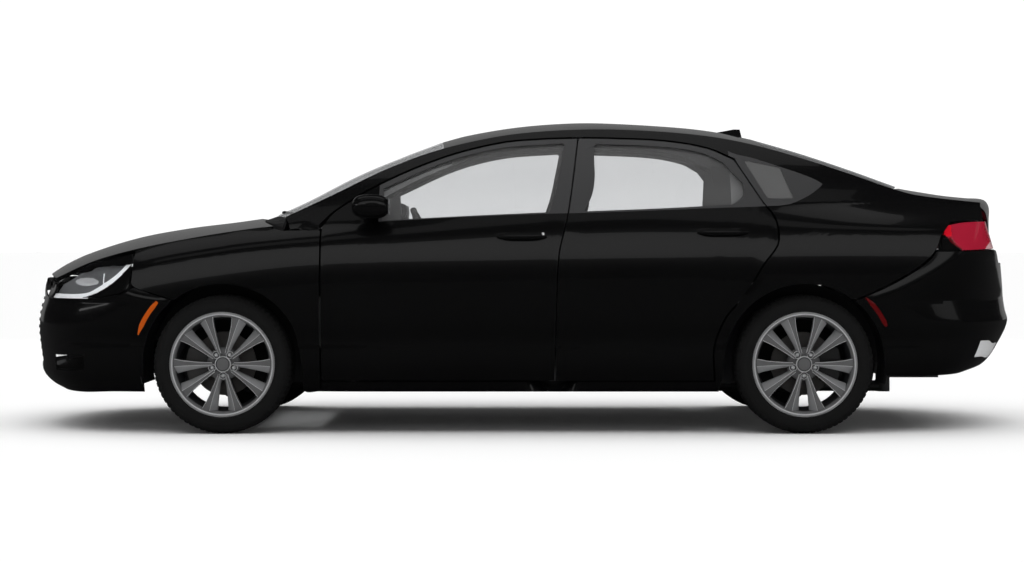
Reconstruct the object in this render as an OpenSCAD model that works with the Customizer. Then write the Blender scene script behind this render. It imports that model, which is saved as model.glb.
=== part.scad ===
// A four-door sedan, built as an assembly of panels, doors, lids, glass, running gear and cabin pieces.
// X runs along the car with the nose at the low end, Y across it and Z up from the road.

/* [Body] */
// Distance between the axles
wheelbase = 2742; // [2650:1:2850]
// Nose ahead of the front axle
front_overhang = 1020; // [980:1:1060]
// Tail behind the rear axle
rear_overhang = 1123; // [1080:1:1160]
// Width over the door skins
body_w = 1870; // [1830:1:1910]
// Top of the roof above the road
roof_h = 1509; // [1480:1:1540]
// Underside of the sills above the road
sill_h = 196; // [185:1:210]
// Gap between neighbouring panels
panel_gap = 7; // [6:0.5:8]
// Depth of a door below its window
door_t = 110; // [100:1:118]
// Depth of a door's window frame
frame_t = 46; // [42:1:52]
// Thickness of the fixed skins
skin_t = 10; // [8:0.5:12]
// Thickness of the window glass
glass_t = 5; // [4:0.5:6]

/* [Running gear] */
// Outer radius of the tyres
tyre_r = 327; // [318:1:335]
// Width of the tyres
tyre_w = 232; // [215:1:240]
// Distance between the wheels' middle planes
track = 1592; // [1570:1:1610]
// Radius of the rim at its lip
rim_r = 248; // [240:1:254]
// Number of wheel spokes
spokes = 10; // [8:1:12]
// Radius of the wheel arches
arch_r = 380; // [374:1:388]
// Radius of the brake discs
disc_r = 150; // [142:1:158]

/* [Hidden] */

// The drawing that the guide curves were read from
drawn_front_axle = -1422.5;
drawn_rear_axle = 1319.5;
drawn_front = 1020;
drawn_rear = 1123;
drawn_w = 1870;
drawn_roof = 1509;
drawn_waist = 930;

front_axle = front_overhang - (front_overhang + wheelbase + rear_overhang) / 2;
rear_axle = front_axle + wheelbase;
hub_y = track / 2;

// A place along, across or up the drawing, carried to this car's own sizes
function station(x) =
    x < drawn_front_axle ? front_axle + (x - drawn_front_axle) * front_overhang / drawn_front
    : x > drawn_rear_axle ? rear_axle + (x - drawn_rear_axle) * rear_overhang / drawn_rear
    : front_axle + (x - drawn_front_axle) * wheelbase / (drawn_rear_axle - drawn_front_axle);
function across(y) = y * body_w / drawn_w;
function up(z) = z < drawn_waist ? z
    : drawn_waist + (z - drawn_waist) * (roof_h - drawn_waist) / (drawn_roof - drawn_waist);
function guide_y(k) = [for (p = k) [station(p[0]), across(p[1])]];
function guide_z(k) = [for (p = k) [station(p[0]), up(p[1])]];
function spot(p) = [station(p[0]), up(p[1])];
function spots(k) = [for (p = k) spot(p)];
function place(p) = [station(p[0]), across(p[1]), up(p[2])];

// Smooth curve through knots
function lin(a, b, t) = a + (b - a) * t;
function knot_below(k, x, i = 0) = i >= len(k) - 2 || x < k[i + 1][0] ? i : knot_below(k, x, i + 1);
function rise(k, a, b) = (k[b][1] - k[a][1]) / (k[b][0] - k[a][0]);
function slope(k, i) = rise(k, max(i - 1, 0), min(i + 1, len(k) - 1));
function curve(k, x) =
    let (i = knot_below(k, x), h = k[i + 1][0] - k[i][0], q = (x - k[i][0]) / h, t = min(max(q, 0), 1),
        past = (q - t) * h, a = slope(k, i) * h, b = slope(k, i + 1) * h)
    k[i][1] + a * t + (3 * (k[i + 1][1] - k[i][1]) - 2 * a - b) * t * t
    + (a + b - 2 * (k[i + 1][1] - k[i][1])) * t * t * t + past * (q > t ? b : a) / h;

// A polyline smoothed and cut into n equal steps of its knots' own spacing
function along(pts, n) =
    let (runs = [for (i = 0,
        d = 0; i < len(pts); d = i + 1 < len(pts) ? d + norm(pts[i + 1] - pts[i]) : d,
            i = i + 1) d],
        axes = [for (a = [0:len(pts[0]) - 1]) [for (i = [0:len(pts) - 1]) [runs[i], pts[i][a]]]])
    [for (i = [0:n]) let (d = runs[len(runs) - 1] * i / n) [for (k = axes) curve(k, d)]];

// Patch between four edges that share their corners
function coons(low, high, left, right) =
    let (n = len(low) - 1, m = len(left) - 1)
    [for (i = [0:n]) let (s = i / n) [for (j = [0:m]) let (w = j / m)
        (1 - w) * low[i] + w * high[i] + (1 - s) * left[j] + s * right[j]
        - (1 - s) * (1 - w) * low[0] - s * (1 - w) * low[n] - (1 - s) * w * high[0] - s * w * high[n]]];

// Closed panel between an outer and an inner grid, with rectangles of cells [i0, i1, j0, j1] left open
function is_cut(cuts, i,
    j) = len([for (c = cuts) if (i >= c[0] && i < c[1] && j >= c[2] && j < c[3]) 1]) > 0;
function pair(a, b, c, d, turn) = turn ? [[a, c, b], [a, d, c]] : [[a, b, c], [a, c, d]];
module panel(outer, inner, cuts = [], turn = false) {
    n = len(outer) - 1;
    m = len(outer[0]) - 1;
    back = (n + 1) * (m + 1);
    function at(i, j) = i * (m + 1) + j;
    function open(i, j) = i < 0 || j < 0 || i >= n || j >= m || is_cut(cuts, i, j);
    faces = [for (i = [0:n - 1]) for (j = [0:m - 1]) if (!open(i, j))
        let (a = at(i, j), b = at(i + 1, j), c = at(i + 1, j + 1), d = at(i, j + 1))
        each concat(pair(a, d, c, b, turn), pair(back + a, back + b, back + c, back + d, turn),
            open(i, j - 1) ? pair(a, b, back + b, back + a, turn) : [],
            open(i, j + 1) ? pair(c, d, back + d, back + c, turn) : [],
            open(i - 1, j) ? pair(d, a, back + a, back + d, turn) : [],
            open(i + 1, j) ? pair(b, c, back + c, back + b, turn) : [])];
    polyhedron(concat([for (r = outer) each r], [for (r = inner) each r]), faces, convexity = 8);
}

// Grid moved along its own normals
function unit(v) = v / norm(v);
function grid_normal(g, i, j) =
    let (n = len(g) - 1, m = len(g[0]) - 1,
        a = g[min(i + 1, n)][j] - g[max(i - 1, 0)][j], b = g[i][min(j + 1, m)] - g[i][max(j - 1, 0)])
    unit(cross(a, b));
function sunk(g, t) = [for (i = [0:len(g) - 1]) [for (j = [0:len(g[0]) - 1]) g[i][j] - t * grid_normal(g,
    i, j)]];

// Guide curves of the body side, drawn for the right half
max_w = guide_y([[-2200, 770], [-1900, 872], [-1423, 922], [-900, 932], [0, 935], [900, 935], [1320, 930],
    [1750, 900], [2100, 830], [2300, 745]]);
crease_z = guide_z([[-2300, 640], [-1868, 765], [-1400, 850], [-957, 900], [0, 925], [1190, 943], [2000,
    950]]);
belt_z = guide_z([[-2300, 742], [-1868, 866], [-1400, 952], [-1134, 984], [-957, 984], [-606, 1005], [80,
    1038],
    [320, 1042], [1124, 1075], [1500, 1090], [1900, 1098], [2250, 1082]]);
belt_y = guide_y([[-2300, 590], [-1868, 762], [-1400, 805], [-1134, 802], [-900, 838], [-600, 858], [0,
    872],
    [600, 872], [1000, 852], [1300, 812], [1600, 742], [1900, 650], [2250, 575]]);
rail_z = guide_z([[-1134, 1024], [-903, 1134], [-673, 1249], [-443, 1340], [-200, 1402], [0, 1434], [300,
    1452],
    [600, 1444], [900, 1415], [1124, 1369], [1356, 1301], [1589, 1224], [1763, 1165], [1900, 1130],
        [2250, 1092]]);
tuck_in = [[150, 118], [sill_h + 4, 78], [260, 50], [330, 31], [400, 27], [440, 29], [490, 15], [560, 6],
    [650, 0],
    [2000, 0]];
crease_in = 22;
crease_rise = 200;
shoulder_power = 1.6;
lean = 0.45;
barrel = 0.000795;
function side_y(x, z) =
    let (w = curve(max_w, x), c = curve(crease_z, x), b = curve(belt_z, x), yb = curve(belt_y, x),
        h = z - b)
    z <= c ? w - curve(tuck_in, z) - crease_in * pow(max(0, (z - c + crease_rise) / crease_rise), 2)
    : z <= b ? lin(w - crease_in, yb, pow((z - c) / (b - c), shoulder_power))
    : yb - lean * h - barrel * h * h;
function on_side(p, deep = 0) = [p[0], side_y(p[0], p[1]) - deep, p[1]];

// Door outlines in side view
door_low_z = sill_h + 54;
door_bevel = 58;
fold_step = 4;
frame_bevel = 24;
front_door_front = [spot([-957, 0])[0], door_low_z];
front_edge = [front_door_front, [front_door_front[0], 620], spot([-957, 975])];
split_edge = concat([[station(144), door_low_z]], spots([[162, 833], [206, 1031], [261, 1404]]));
front_top = spots([[-957, 975], [-900, 1044], [-671, 1184], [-372, 1312], [-109, 1380], [80, 1398], [261,
    1404]]);
arch_edge_r = arch_r + 58;
function arch_point(axle, r, a) = [axle + r * cos(a), tyre_r + r * sin(a)];
rear_edge = concat([[rear_axle - arch_edge_r + 12, door_low_z]], [for (a = [170, 150,
    130]) arch_point(rear_axle, arch_edge_r, a)],
    spots([[1120, 800], [1186, 890], [1192, 955], [1172, 1031], [1128, 1090], [1003, 1296]]));
rear_top = spots([[261, 1404], [420, 1402], [682, 1388], [880, 1352], [1003, 1296]]);

// Depth of a door at a height: full below the belt, thin in the window frame
function frame_share(p) = min(max((p[1] - curve(belt_z, p[0]) + 30) / 50, 0), 1);
function door_depth(p) = lin(door_t, frame_t, frame_share(p));
function bevel_at(p) = lin(door_bevel, frame_bevel, frame_share(p));

// Outline grids of the doors, with the window as a block of cells
col_a = 3;
col_w = 7;
col_b = 1;
row_low = 6;
row_win = 4;
row_top = 1;
door_cols = col_a + col_w + col_b;
door_rows = row_low + row_win + row_top;
window_cells = [col_a, col_a + col_w, row_low, row_low + row_win];
top_bevel = 4;
function between(a, b, n) = [for (i = [0:n]) lin(a, b, i / n)];
function joined(lists) = [for (k = [0:len(lists) - 1])
    for (i = [k == 0 ? 0 : 1:len(lists[k]) - 1]) lists[k][i]];
function moved(pts, v) = [for (p = pts) p + v];
function part_of(list, a, b) = [for (i = [a:b]) list[i]];
function door_grid(low, top, front, rear, sill_line, head_line) =
    let (nw = row_low + row_win, left = along(front, door_rows), right = along(rear, door_rows),
        belt_row = joined([between(left[row_low], sill_line[0], col_a), along(sill_line, col_w),
            between(sill_line[len(sill_line) - 1], right[row_low], col_b)]),
        head_row = joined([between(left[nw], head_line[0], col_a), along(head_line, col_w),
            between(head_line[len(head_line) - 1], right[nw], col_b)]),
        low_row = along(low, door_cols), top_row = along(top, door_cols),
        a = coons(low_row, belt_row, part_of(left, 0, row_low), part_of(right, 0, row_low)),
        b = coons(belt_row, head_row, part_of(left, row_low, nw), part_of(right, row_low, nw)),
        c = coons(head_row, top_row, part_of(left, nw, door_rows), part_of(right, nw, door_rows)))
    [for (i = [0:door_cols]) joined([a[i], b[i], c[i]])];

front_door_grid = door_grid([front_edge[0], split_edge[0] - [panel_gap / 2, 0]],
    joined([part_of(front_top, 0, len(front_top) - 2), [front_top[0],
        front_top[len(front_top) - 1] - [panel_gap / 2, 0]]]),
    front_edge, moved(split_edge, [-panel_gap / 2, 0]),
    spots([[-671, 1006], [-280, 1026], [118, 1044]]), spots([[-671, 1158], [-372, 1290], [-109, 1357],
        [196, 1381]]));
rear_door_grid = door_grid([split_edge[0] + [panel_gap / 2, 0], rear_edge[0]],
    joined([[rear_top[0] + [panel_gap / 2, 0]], [rear_top[0],
        for (i = [1:len(rear_top) - 1]) rear_top[i]]]),
    moved(split_edge, [panel_gap / 2, 0]), rear_edge,
    spots([[282, 1048], [640, 1062], [980, 1080]]), spots([[336, 1378], [682, 1362], [860, 1330], [952,
        1284]]));

// Door solid: skin on the body side, inner face drawn in by its bevels
function door_inner(g) = [for (i = [0:door_cols]) [for (j = [0:door_rows])
    let (p = g[i][j], b = bevel_at(p),
        near = g[0][j][0] + b + i * fold_step,
        far = g[door_cols][j][0] - b - (door_cols - i) * fold_step,
        q = [min(max(p[0], near), far), p[1] + (j == 0 ? door_bevel : j == door_rows ? -top_bevel : 0)])
    [q[0], side_y(p[0], p[1]) - door_depth(p), q[1]]]];
function lifted(g, deep = 0) = [for (r = g) [for (p = r) on_side(p, deep)]];

// Glass that fills a window block of a side grid
glass_play = 0.3;
glass_sink = 14;
function block(g, c) = [for (i = [c[0]:c[1]]) [for (j = [c[2]:c[3]]) g[i][j]]];
function eased(g, e) =
    let (n = len(g) - 1, m = len(g[0]) - 1)
    [for (i = [0:n]) [for (j = [0:m]) g[i][j]
        + (i == 0 ? e * unit(g[1][j] - g[0][j]) : i == n ? e * unit(g[n - 1][j] - g[n][j]) : [0, 0])
        + (j == 0 ? e * unit(g[i][1] - g[i][0]) : j == m ? e * unit(g[i][m - 1] - g[i][m]) : [0, 0])]];
module side_glass(g, c) {
    pane = eased(block(g, c), glass_play);
    panel(lifted(pane, glass_sink), lifted(pane, glass_sink + glass_t), turn = true);
}

// Handle: a bow over the skin, its feet just clear of it
handle_l = 236;
handle_h = 30;
handle_bow = 30;
handle_t = 13;
foot_play = 0.3;
module door_handle(x, z) {
    xs = between(x - handle_l / 2, x + handle_l / 2, 8);
    zs = between(z - handle_h / 2, z + handle_h / 2, 2);
    function rise_at(a) = handle_bow * (1 - pow(2 * (a - x) / handle_l, 4));
    outer = [for (a = xs) [for (b = zs) on_side([a, b], -max(rise_at(a), foot_play + 5))]];
    inner = [for (a = xs) [for (b = zs) on_side([a, b], -max(rise_at(a) - handle_t, foot_play))]];
    panel(outer, inner, turn = true);
}

// Closed loft through rings of equal count
module loft(rings, turn = false) {
    n = len(rings);
    k = len(rings[0]);
    sides = [for (i = [0:n - 2]) for (j = [0:k - 1])
        let (a = i * k + j, b = i * k + (j + 1) % k) each pair(a, b, b + k, a + k, turn)];
    first = [for (j = [0:k - 1]) turn ? k - 1 - j : j];
    last = [for (j = [0:k - 1]) (n - 1) * k + (turn ? j : k - 1 - j)];
    ends = [for (e = [first, last]) for (j = [1:k - 2]) [e[0], e[j + 1], e[j]]];
    polyhedron([for (r = rings) each r], concat(sides, ends), convexity = 4);
}

// Side frame: the ring round both door openings with the pillars, sill, roof rail and rear quarter
ring_rows = 11;
ring_t = 34;
post_lead = 16;
post_play = 6;
pillar_front = 26;
pillar_rear = 24;
rail_clear = panel_gap + 2;
quarter_gap = panel_gap + 1;
post_front = [[station(-1016), sill_h], [station(-1016), 600], spot([-1046, 800]), spot([-1134, 1024])];
opening_low = door_low_z - panel_gap;
function rail_row(a, b, n) = [for (x = between(station(a), station(b), n)) [x, curve(rail_z, x)]];
post_rear = concat([[front_edge[0][0] - post_lead, sill_h]],
    between([front_edge[0][0] - post_lead, opening_low], [front_edge[0][0] - post_lead, up(960)],
        ring_rows - 1),
    [[front_edge[0][0] - post_lead, up(986)], [station(-1010), curve(rail_z, station(-1010))]]);
pillar_head = split_edge[3][1] + rail_clear;
function pillar_column(side) = concat([[split_edge[0][0] + side, sill_h]],
    along([for (p = split_edge) [p[0] + side,
        p[1] == door_low_z ? opening_low : p[1] > up(1300) ? p[1] + 2 : p[1]]],
        ring_rows - 1), [for (z = [pillar_head, curve(rail_z,
            split_edge[3][0] + side)]) [split_edge[3][0] + side, z]]);
pillar_a = pillar_column(-pillar_front);
pillar_b = pillar_column(pillar_rear);
function beside(pts, d) = [for (i = [0:len(pts) - 1])
    let (t = unit(pts[min(i + 1, len(pts) - 1)] - pts[max(i - 1, 0)])) pts[i] + d * [t[1], -t[0]]];
quarter_edge = beside(along(rear_edge, ring_rows), quarter_gap);
quarter_top = rear_edge[len(rear_edge) - 1] + [quarter_gap, rail_clear];
quarter_front = concat([[rear_axle - arch_r - 22, sill_h]],
    [rear_edge[0] + [quarter_gap, -panel_gap]], part_of(quarter_edge, 1, ring_rows - 1), [quarter_top],
    [[station(1068), curve(rail_z, station(1068))]]);
tail_a = 54;
tail_joint_z = tyre_r + arch_r * sin(tail_a);
tail_joint = concat([arch_point(rear_axle, arch_r, tail_a)], spots([[1660, 680], [1800, 752], [1905,
    824], [1950, 880], [1990, 985],
    [2195, 1010]]));
quarter_path = along(concat([quarter_front[0], [rear_axle - arch_r - 6, 268]],
    [for (a = [172:-14:60]) arch_point(rear_axle, arch_r, a)], tail_joint), 260);
quarter_low = [for (i = [0:26]) quarter_path[round(260 * pow(i / 26, 1.35))]];
quarter_high = rail_row(1068, 2215, 26);
quarter_rear = between(quarter_low[26], quarter_high[26], ring_rows + 2);
quarter_grid = coons(quarter_low, quarter_high, quarter_front, quarter_rear);
head_a = along(concat([post_rear[ring_rows + 1]], [for (i = [1:len(front_top) - 2]) front_top[i] + [-4,
    rail_clear]],
    [pillar_a[ring_rows + 1]]), 8);
head_b = along(concat([pillar_b[ring_rows + 1]], [for (i = [1:len(rear_top) - 2]) rear_top[i] + [2,
    rail_clear]],
    [quarter_front[ring_rows + 1]]), 7);
function hole_column(a, b, head, t) =
    let (x = lin(a[1][0], b[1][0], t), r = lin(a[ring_rows + 2][0], b[ring_rows + 2][0], t))
    concat([[x, sill_h]], between([x, opening_low], head, ring_rows), [[r, curve(rail_z, r)]]);
ring_grid = concat([post_front_column(), post_rear],
    [for (i = [1:7]) hole_column(post_rear, pillar_a, head_a[i], i / 8)], [pillar_a, pillar_b],
    [for (i = [1:6]) hole_column(pillar_b, quarter_front, head_b[i], i / 7)], quarter_grid);
function post_front_column() = let (c = along(post_front, ring_rows + 2))
    [for (j = [0:ring_rows + 2]) j == ring_rows ? [c[j][0], up(960)] : c[j]];
hole_1 = [1, 9, 1, ring_rows + 1];
hole_2 = [10, 17, 1, ring_rows + 1];
window_row = 10;
quarter_cells = [18, 22, window_row, ring_rows + 1];

// How deep the frame lies under the skin, and the shift of its inner edge at the openings
function post_depth(p) = p[1] < curve(belt_z, p[0]) - 8 ? skin_t + post_play : 0;
function ring_depth(i, j, p) =
    i <= 1 ? (j >= ring_rows + 1 ? 0 : post_depth(p))
    : (i == 9 || i == 10) && j > 0 && j <= ring_rows ? pillar_depth(p)
    : 0;
function pillar_depth(p) = lin(0.86 * door_t, frame_t + 8, frame_share(p));
function ring_inner(i, j, p) =
    let (low = j == 1 && i > 1 && i < 17, deep = i >= 17 && p[0] > station(1560))
    (i == 9 || i == 10 || i <= 1) && j > 0 && j <= ring_rows ? door_depth(p) + ring_t
    : low ? door_t + ring_t / 2
    : j == 0 && i <= 17 ? door_t + ring_t / 2 - 60
    : j >= ring_rows + 1 && i < 18 ? frame_t + ring_t / 2
    : i == 17 ? door_depth(p) + 8
    : skin_t;
function ring_shift(i, j, p) =
    j == 1 && i > 0 && i <= 17 ? [i == 17 ? -door_bevel : 0, i <= 2 ? 0 : door_bevel]
    : i == 17 && j > 1 && j <= ring_rows ? [-bevel_at(p), 0]
    : i == 1 && j > 0 && j < ring_rows ? [10, 0]
    : i == 9 && j > 0 && j <= ring_rows ? [-10, 0]
    : i == 10 && j > 0 && j <= ring_rows ? [10, 0]
    : [0, 0];
module side_frame() {
    outer = [for (i = [0:len(ring_grid) - 1]) [for (j = [0:ring_rows + 2])
        on_side(ring_grid[i][j], ring_depth(i, j, ring_grid[i][j]))]];
    inner = [for (i = [0:len(ring_grid) - 1]) [for (j = [0:ring_rows + 2])
        let (p = ring_grid[i][j], q = p + ring_shift(i, j, p), y = side_y(p[0], p[1]) - ring_inner(i, j,
            p))
        j == ring_rows + 2 ? on_side(p, 1) - [0, 0, roof_t] : [q[0], y, q[1]]]];
    panel(outer, inner, [hole_1, hole_2, quarter_cells], turn = true);
}
module left() {
    mirror([0, 1, 0])
        children();
}
module both() {
    children();
    left()
        children();
}
// Soft stops between a sill and the doors' lower edges
stop_play = 0.35;
function stop_point(x, f, door) = door ? [x, side_y(x, door_low_z) - door_t * f,
    door_low_z + door_bevel * f - stop_play]
    : [x, side_y(x, opening_low) - (door_t + ring_t / 2) * f, opening_low + door_bevel * f + stop_play];
module door_stop(x) {
    rows = [0.35, 0.6];
    panel([for (a = [x, x + 40]) [for (f = rows) stop_point(a, f, true)]],
        [for (a = [x, x + 40]) [for (f = rows) stop_point(a, f, false)]], turn = false);
}
module framed_side() {
    side_frame();
    for (x = [-500, -60, 420, 760])
        door_stop(station(x));
}
module side_frame_left() { color("black") left() framed_side(); }
module side_frame_right() { color("black") framed_side(); }
module front_door() {
    panel(lifted(front_door_grid), door_inner(front_door_grid), [window_cells], turn = true);
    door_handle(station(-12), 932);
}
module rear_door() {
    panel(lifted(rear_door_grid), door_inner(rear_door_grid), [window_cells], turn = true);
    door_handle(station(930), 952);
}
module front_door_left() { color("black") left() front_door(); }
module front_door_right() { color("black") front_door(); }
module rear_door_left() { color("black") left() rear_door(); }
module rear_door_right() { color("black") rear_door(); }
module front_glass() { side_glass(front_door_grid, window_cells); }
module rear_glass() { side_glass(rear_door_grid, window_cells); }
module front_glass_left() { color("dimgray") left() front_glass(); }
module front_glass_right() { color("dimgray") front_glass(); }
module rear_glass_left() { color("dimgray") left() rear_glass(); }
module rear_glass_right() { color("dimgray") rear_glass(); }
module quarter_windows() { color("dimgray") both() side_glass(ring_grid, quarter_cells); }

// Windscreen, roof and rear window span the car between the rails
function cap(c, e, u) = [c[0] + (e[0] - c[0]) * u * u, e[1] * u, c[2] + (e[2] - c[2]) * u * u];
function cap_grid(centre, edge,
    n) = [for (u = [for (i = [n:-1:-n]) i / n]) [for (k = [0:len(centre) - 1]) cap(centre[k], edge[k],
    u)]];
function mid_line(k, n) = along([for (p = k) place([p[0], 0, p[1]])], n);
bond = 0.5;
function rail_edge(a, b) = [for (i = [a:b]) on_side(ring_grid[i][ring_rows + 2], bond)];
screen_cols = [0, 5];
roof_cols = [5, 19];
back_cols = [19, 33];
seam = 3;
function ease_first(k, d) = [for (i = [0:len(k) - 1]) i == 0 ? k[0] + d * unit(k[1] - k[0]) : k[i]];
function ease_last(k,
    d) = let (n = len(k) - 1) [for (i = [0:n]) i == n ? k[n] + d * unit(k[n - 1] - k[n]) : k[i]];
screen_edge = ease_last(rail_edge(screen_cols[0], screen_cols[1]), seam);
roof_edge = rail_edge(roof_cols[0], roof_cols[1]);
back_edge = ease_first(rail_edge(back_cols[0], back_cols[1]), seam);
screen_t = 6;
roof_t = 26;
screen_mid = mid_line([[-1240, 1040], [-1084, 1111], [-838, 1239], [-592, 1342], [-412, 1411]], 5);
roof_mid = mid_line([[-409, 1412], [-285, 1446], [-39, 1488], [207, 1508], [392, 1509], [761, 1488],
    [945, 1467], [1130, 1429]], 14);
back_mid = mid_line([[1133, 1428], [1376, 1357], [1622, 1275], [1868, 1186]], 14);
module windscreen() {
    g = cap_grid(screen_mid, screen_edge, 5);
    color("dimgray") panel(g, sunk(g, screen_t), turn = false);
}
module roof_panel() {
    g = cap_grid(roof_mid, roof_edge, 5);
    color("black") panel(g, sunk(g, roof_t), turn = false);
}
module rear_window() {
    g = cap_grid(back_mid, back_edge, 5);
    color("dimgray") panel(g, sunk(g, screen_t), turn = false);
}

// Hood and boot lid
hood_t = 20;
hood_mid = mid_line([[-2382, 752], [-2315, 795], [-2192, 852], [-1945, 929], [-1700, 975], [-1453, 1006],
    [-1326, 1024]], 9);
hood_side = [place([-2268, 585, 730]), for (x = [-2080, -1868, -1600, -1380, -1192]) let (s = station(x))
    [s, curve(belt_y, s) - panel_gap, curve(belt_z, s)]];
hood_edge = along(hood_side, 9);
lid_mid = mid_line([[1886, 1176], [1991, 1160], [2114, 1141], [2237, 1129], [2330, 1122], [2352, 1085],
    [2340, 1000], [2352, 880], [2372, 812]], 12);
lid_edge = [for (x = between(station(1800), station(2160), 6))
    [x, side_y(x, curve(rail_z, x)) - panel_gap - 4, curve(rail_z, x)]];
lid_drop = along([lid_edge[6], place([2238, 545, 1060]), place([2262, 525, 1000]), place([2266, 522,
    880]), place([2286, 520, 812])], 6);
hood_grid = cap_grid(hood_mid, hood_edge, 6);
lid_grid = cap_grid(lid_mid, joined([lid_edge, lid_drop]), 6);
module hood() {
    color("black") panel(hood_grid, sunk(hood_grid, hood_t));
}
module boot_lid() {
    color("black") panel(lid_grid, sunk(lid_grid, hood_t));
}

// Front fenders from the bumper joint to the door, round the wheel arch
fender_gap = panel_gap + 1;
joint_a = 52;
joint_z = tyre_r + arch_r * sin(joint_a);
joint_top = joint_z + 66;
fender_top_drop = 28;
function joint_x(z) = z < tyre_r ? front_axle - arch_r
    : z < joint_z ? front_axle - sqrt(arch_r * arch_r - pow(z - tyre_r, 2))
    : lin(front_axle - arch_r * cos(joint_a), station(-1856), min(1,
        (z - joint_z) / (joint_top - joint_z)));
fender_back = front_edge[0][0] - fender_gap;
fender_low = along(concat([for (a = [179 - joint_a:-14:9]) arch_point(front_axle, arch_r, a)],
    [[front_axle + arch_r - 1, tyre_r - 40],
    [front_axle + arch_r + 4, sill_h + 2], [fender_back, sill_h + 2]]), 18);
fender_high = [for (x = between(station(-1850), fender_back, 18)) [x, curve(belt_z, x)
    - fender_top_drop * min(1, max(0, (x - station(-1230)) / 90))]];
fender_front = along([fender_low[0], [lin(fender_low[0][0], station(-1852), 0.5), joint_z + 36],
    [station(-1850), joint_top + 6], [station(-1852), joint_top + 60], fender_high[0]], 9);
fender_rear = between(fender_low[18], fender_high[18], 9);
fender_grid = coons(fender_low, fender_high, fender_front, fender_rear);
module fender() {
    inner = [for (i = [0:18]) [for (j = [0:9]) let (p = fender_grid[i][j])
        (j == 9 ? on_side(p, 1) - [0, 0, skin_t] : on_side(p, skin_t)) - (i == 18 ? [skin_t, 0, 0] : [0,
            0, 0])]];
    panel(lifted(fender_grid), inner, turn = true);
}
module front_fenders() { color("black") both() fender(); }

// Bumpers: a rounded plan swept through the profile of the nose or the tail
nose_power = 2.3;
tail_power = 2.2;
nose_x = [for (p = [[178, -2302], [215, -2372], [267, -2418], [330, -2424], [466, -2442.5], [560, -2438],
    [656, -2412], [740, -2390], [860, -2370]])
    [p[0], station(p[1])]];
tail_x = [for (p = [[262, 2200], [302, 2310], [404, 2392], [511, 2442.5], [571, 2430], [700, 2412], [860,
    2385], [1000, 2360]])
    [p[0], station(p[1])]];
function bow(q, z, x_mid, x_end, y_end, power) =
    let (c = pow(abs(cos(90 * q)), 2 / power), s = pow(abs(sin(90 * q)), 2 / power) * sign(q))
    [x_end - (x_end - x_mid) * c, y_end * s, z];
function nose_point(q, z) = let (e = joint_x(z)) bow(q, z, curve(nose_x, z), e, side_y(e, z), nose_power);
bumper_t = 6;
nose_cols = 18;
nose_rows = [0, 0.1, 0.24, 0.4, 0.56, 0.72, 0.88, 1];
nose_top = [[0, 728], [0.18, 728], [0.25, 720], [0.33, 644], [0.5, 634], [0.75, 638], [0.88, 656], [1,
    joint_z + 62]];
nose_low = [[0, 180], [0.6, 182], [0.85, 192], [1, 192]];
function nose_z(q, f) = lin(curve(nose_low, abs(q)), curve(nose_top, abs(q)), f);
nose_grid = [for (i = [nose_cols:-1:-nose_cols]) let (q = i / nose_cols)
    [for (f = nose_rows) nose_point(q, nose_z(q, f))]];
grille_cells = [nose_cols - 5, nose_cols + 5, 2, 6];
fog_cells = [[nose_cols + 9, nose_cols + 13, 2, 3], [nose_cols - 13, nose_cols - 9, 2, 3]];
module front_bumper() {
    color("black") panel(nose_grid, sunk(nose_grid, bumper_t), concat([grille_cells], fog_cells));
}

function tail_end_x(z) = z < tyre_r ? rear_axle + arch_r
    : z < tail_joint_z - 4 ? rear_axle + sqrt(arch_r * arch_r - pow(z - tyre_r, 2))
    : curve([for (p = tail_joint) if (p[1] < up(900)) [p[1] - 8, p[0] + 8]], z);
function tail_point(q, z) = let (e = tail_end_x(z)) bow(q, z, curve(tail_x, z), e, side_y(e, z),
    tail_power);
tail_cols = 16;
tail_rows = [0, 0.08, 0.2, 0.34, 0.46, 0.6, 0.8, 1];
tail_top = [[0, 802], [0.3, 802], [0.38, 806], [0.44, 862], [0.7, 862], [1, 858]];
tail_low = [[0, 266], [0.6, 266], [1, 272]];
function tail_z(q, f) = lin(curve(tail_low, abs(q)), curve(tail_top, abs(q)), f);
tail_grid = [for (i = [-tail_cols:tail_cols]) let (q = i / tail_cols) [for (f = tail_rows) tail_point(q,
    tail_z(q, f))]];
module rear_bumper() {
    color("black") panel(tail_grid, sunk(tail_grid, bumper_t));
}

// Lamps fill the corners between the bumpers, the lids and the body side
lamp_t = 16;
lamp_gap = 5;
headlamp_low = along([for (q = [0.345, 0.45, 0.6, 0.75, 0.9, 0.98]) nose_point(q, curve(nose_top,
    q) + lamp_gap)], 9);
headlamp_high = along(concat([place([-2312, 440, 711]), place([-2256, 598, 700])],
    [for (x = [-2080, -1960, -1862]) let (t = station(x)) on_side([t, curve(belt_z, t) - 20])]), 9);
headlamp_grid = coons(headlamp_low, headlamp_high, between(headlamp_low[0], headlamp_high[0], 4),
    along([headlamp_low[9], on_side([station(-1864), 720]), headlamp_high[9]], 4));
module headlamps() {
    color("silver") both() panel(headlamp_grid, sunk(headlamp_grid, -lamp_t), turn = true);
}
fog_play = 2.5;
bar_play = 3;
module fog_lamps() {
    c = fog_cells[1];
    g = [for (i = [c[0]:c[1]]) [for (j = [c[2]:c[3]])
        nose_grid[i][j] + [0, i == c[0] ? -fog_play : i == c[1] ? fog_play : 0,
            j == c[2] ? fog_play : -fog_play]]];
    color("silver") both() panel(sunk(g, 1), sunk(g, lamp_t));
}
taillamp_low = along(concat([place([2256, 528, 870])], [for (q = [0.5, 0.62, 0.75, 0.9,
    0.98]) tail_point(q, curve(tail_top, q) + lamp_gap)]), 8);
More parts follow.
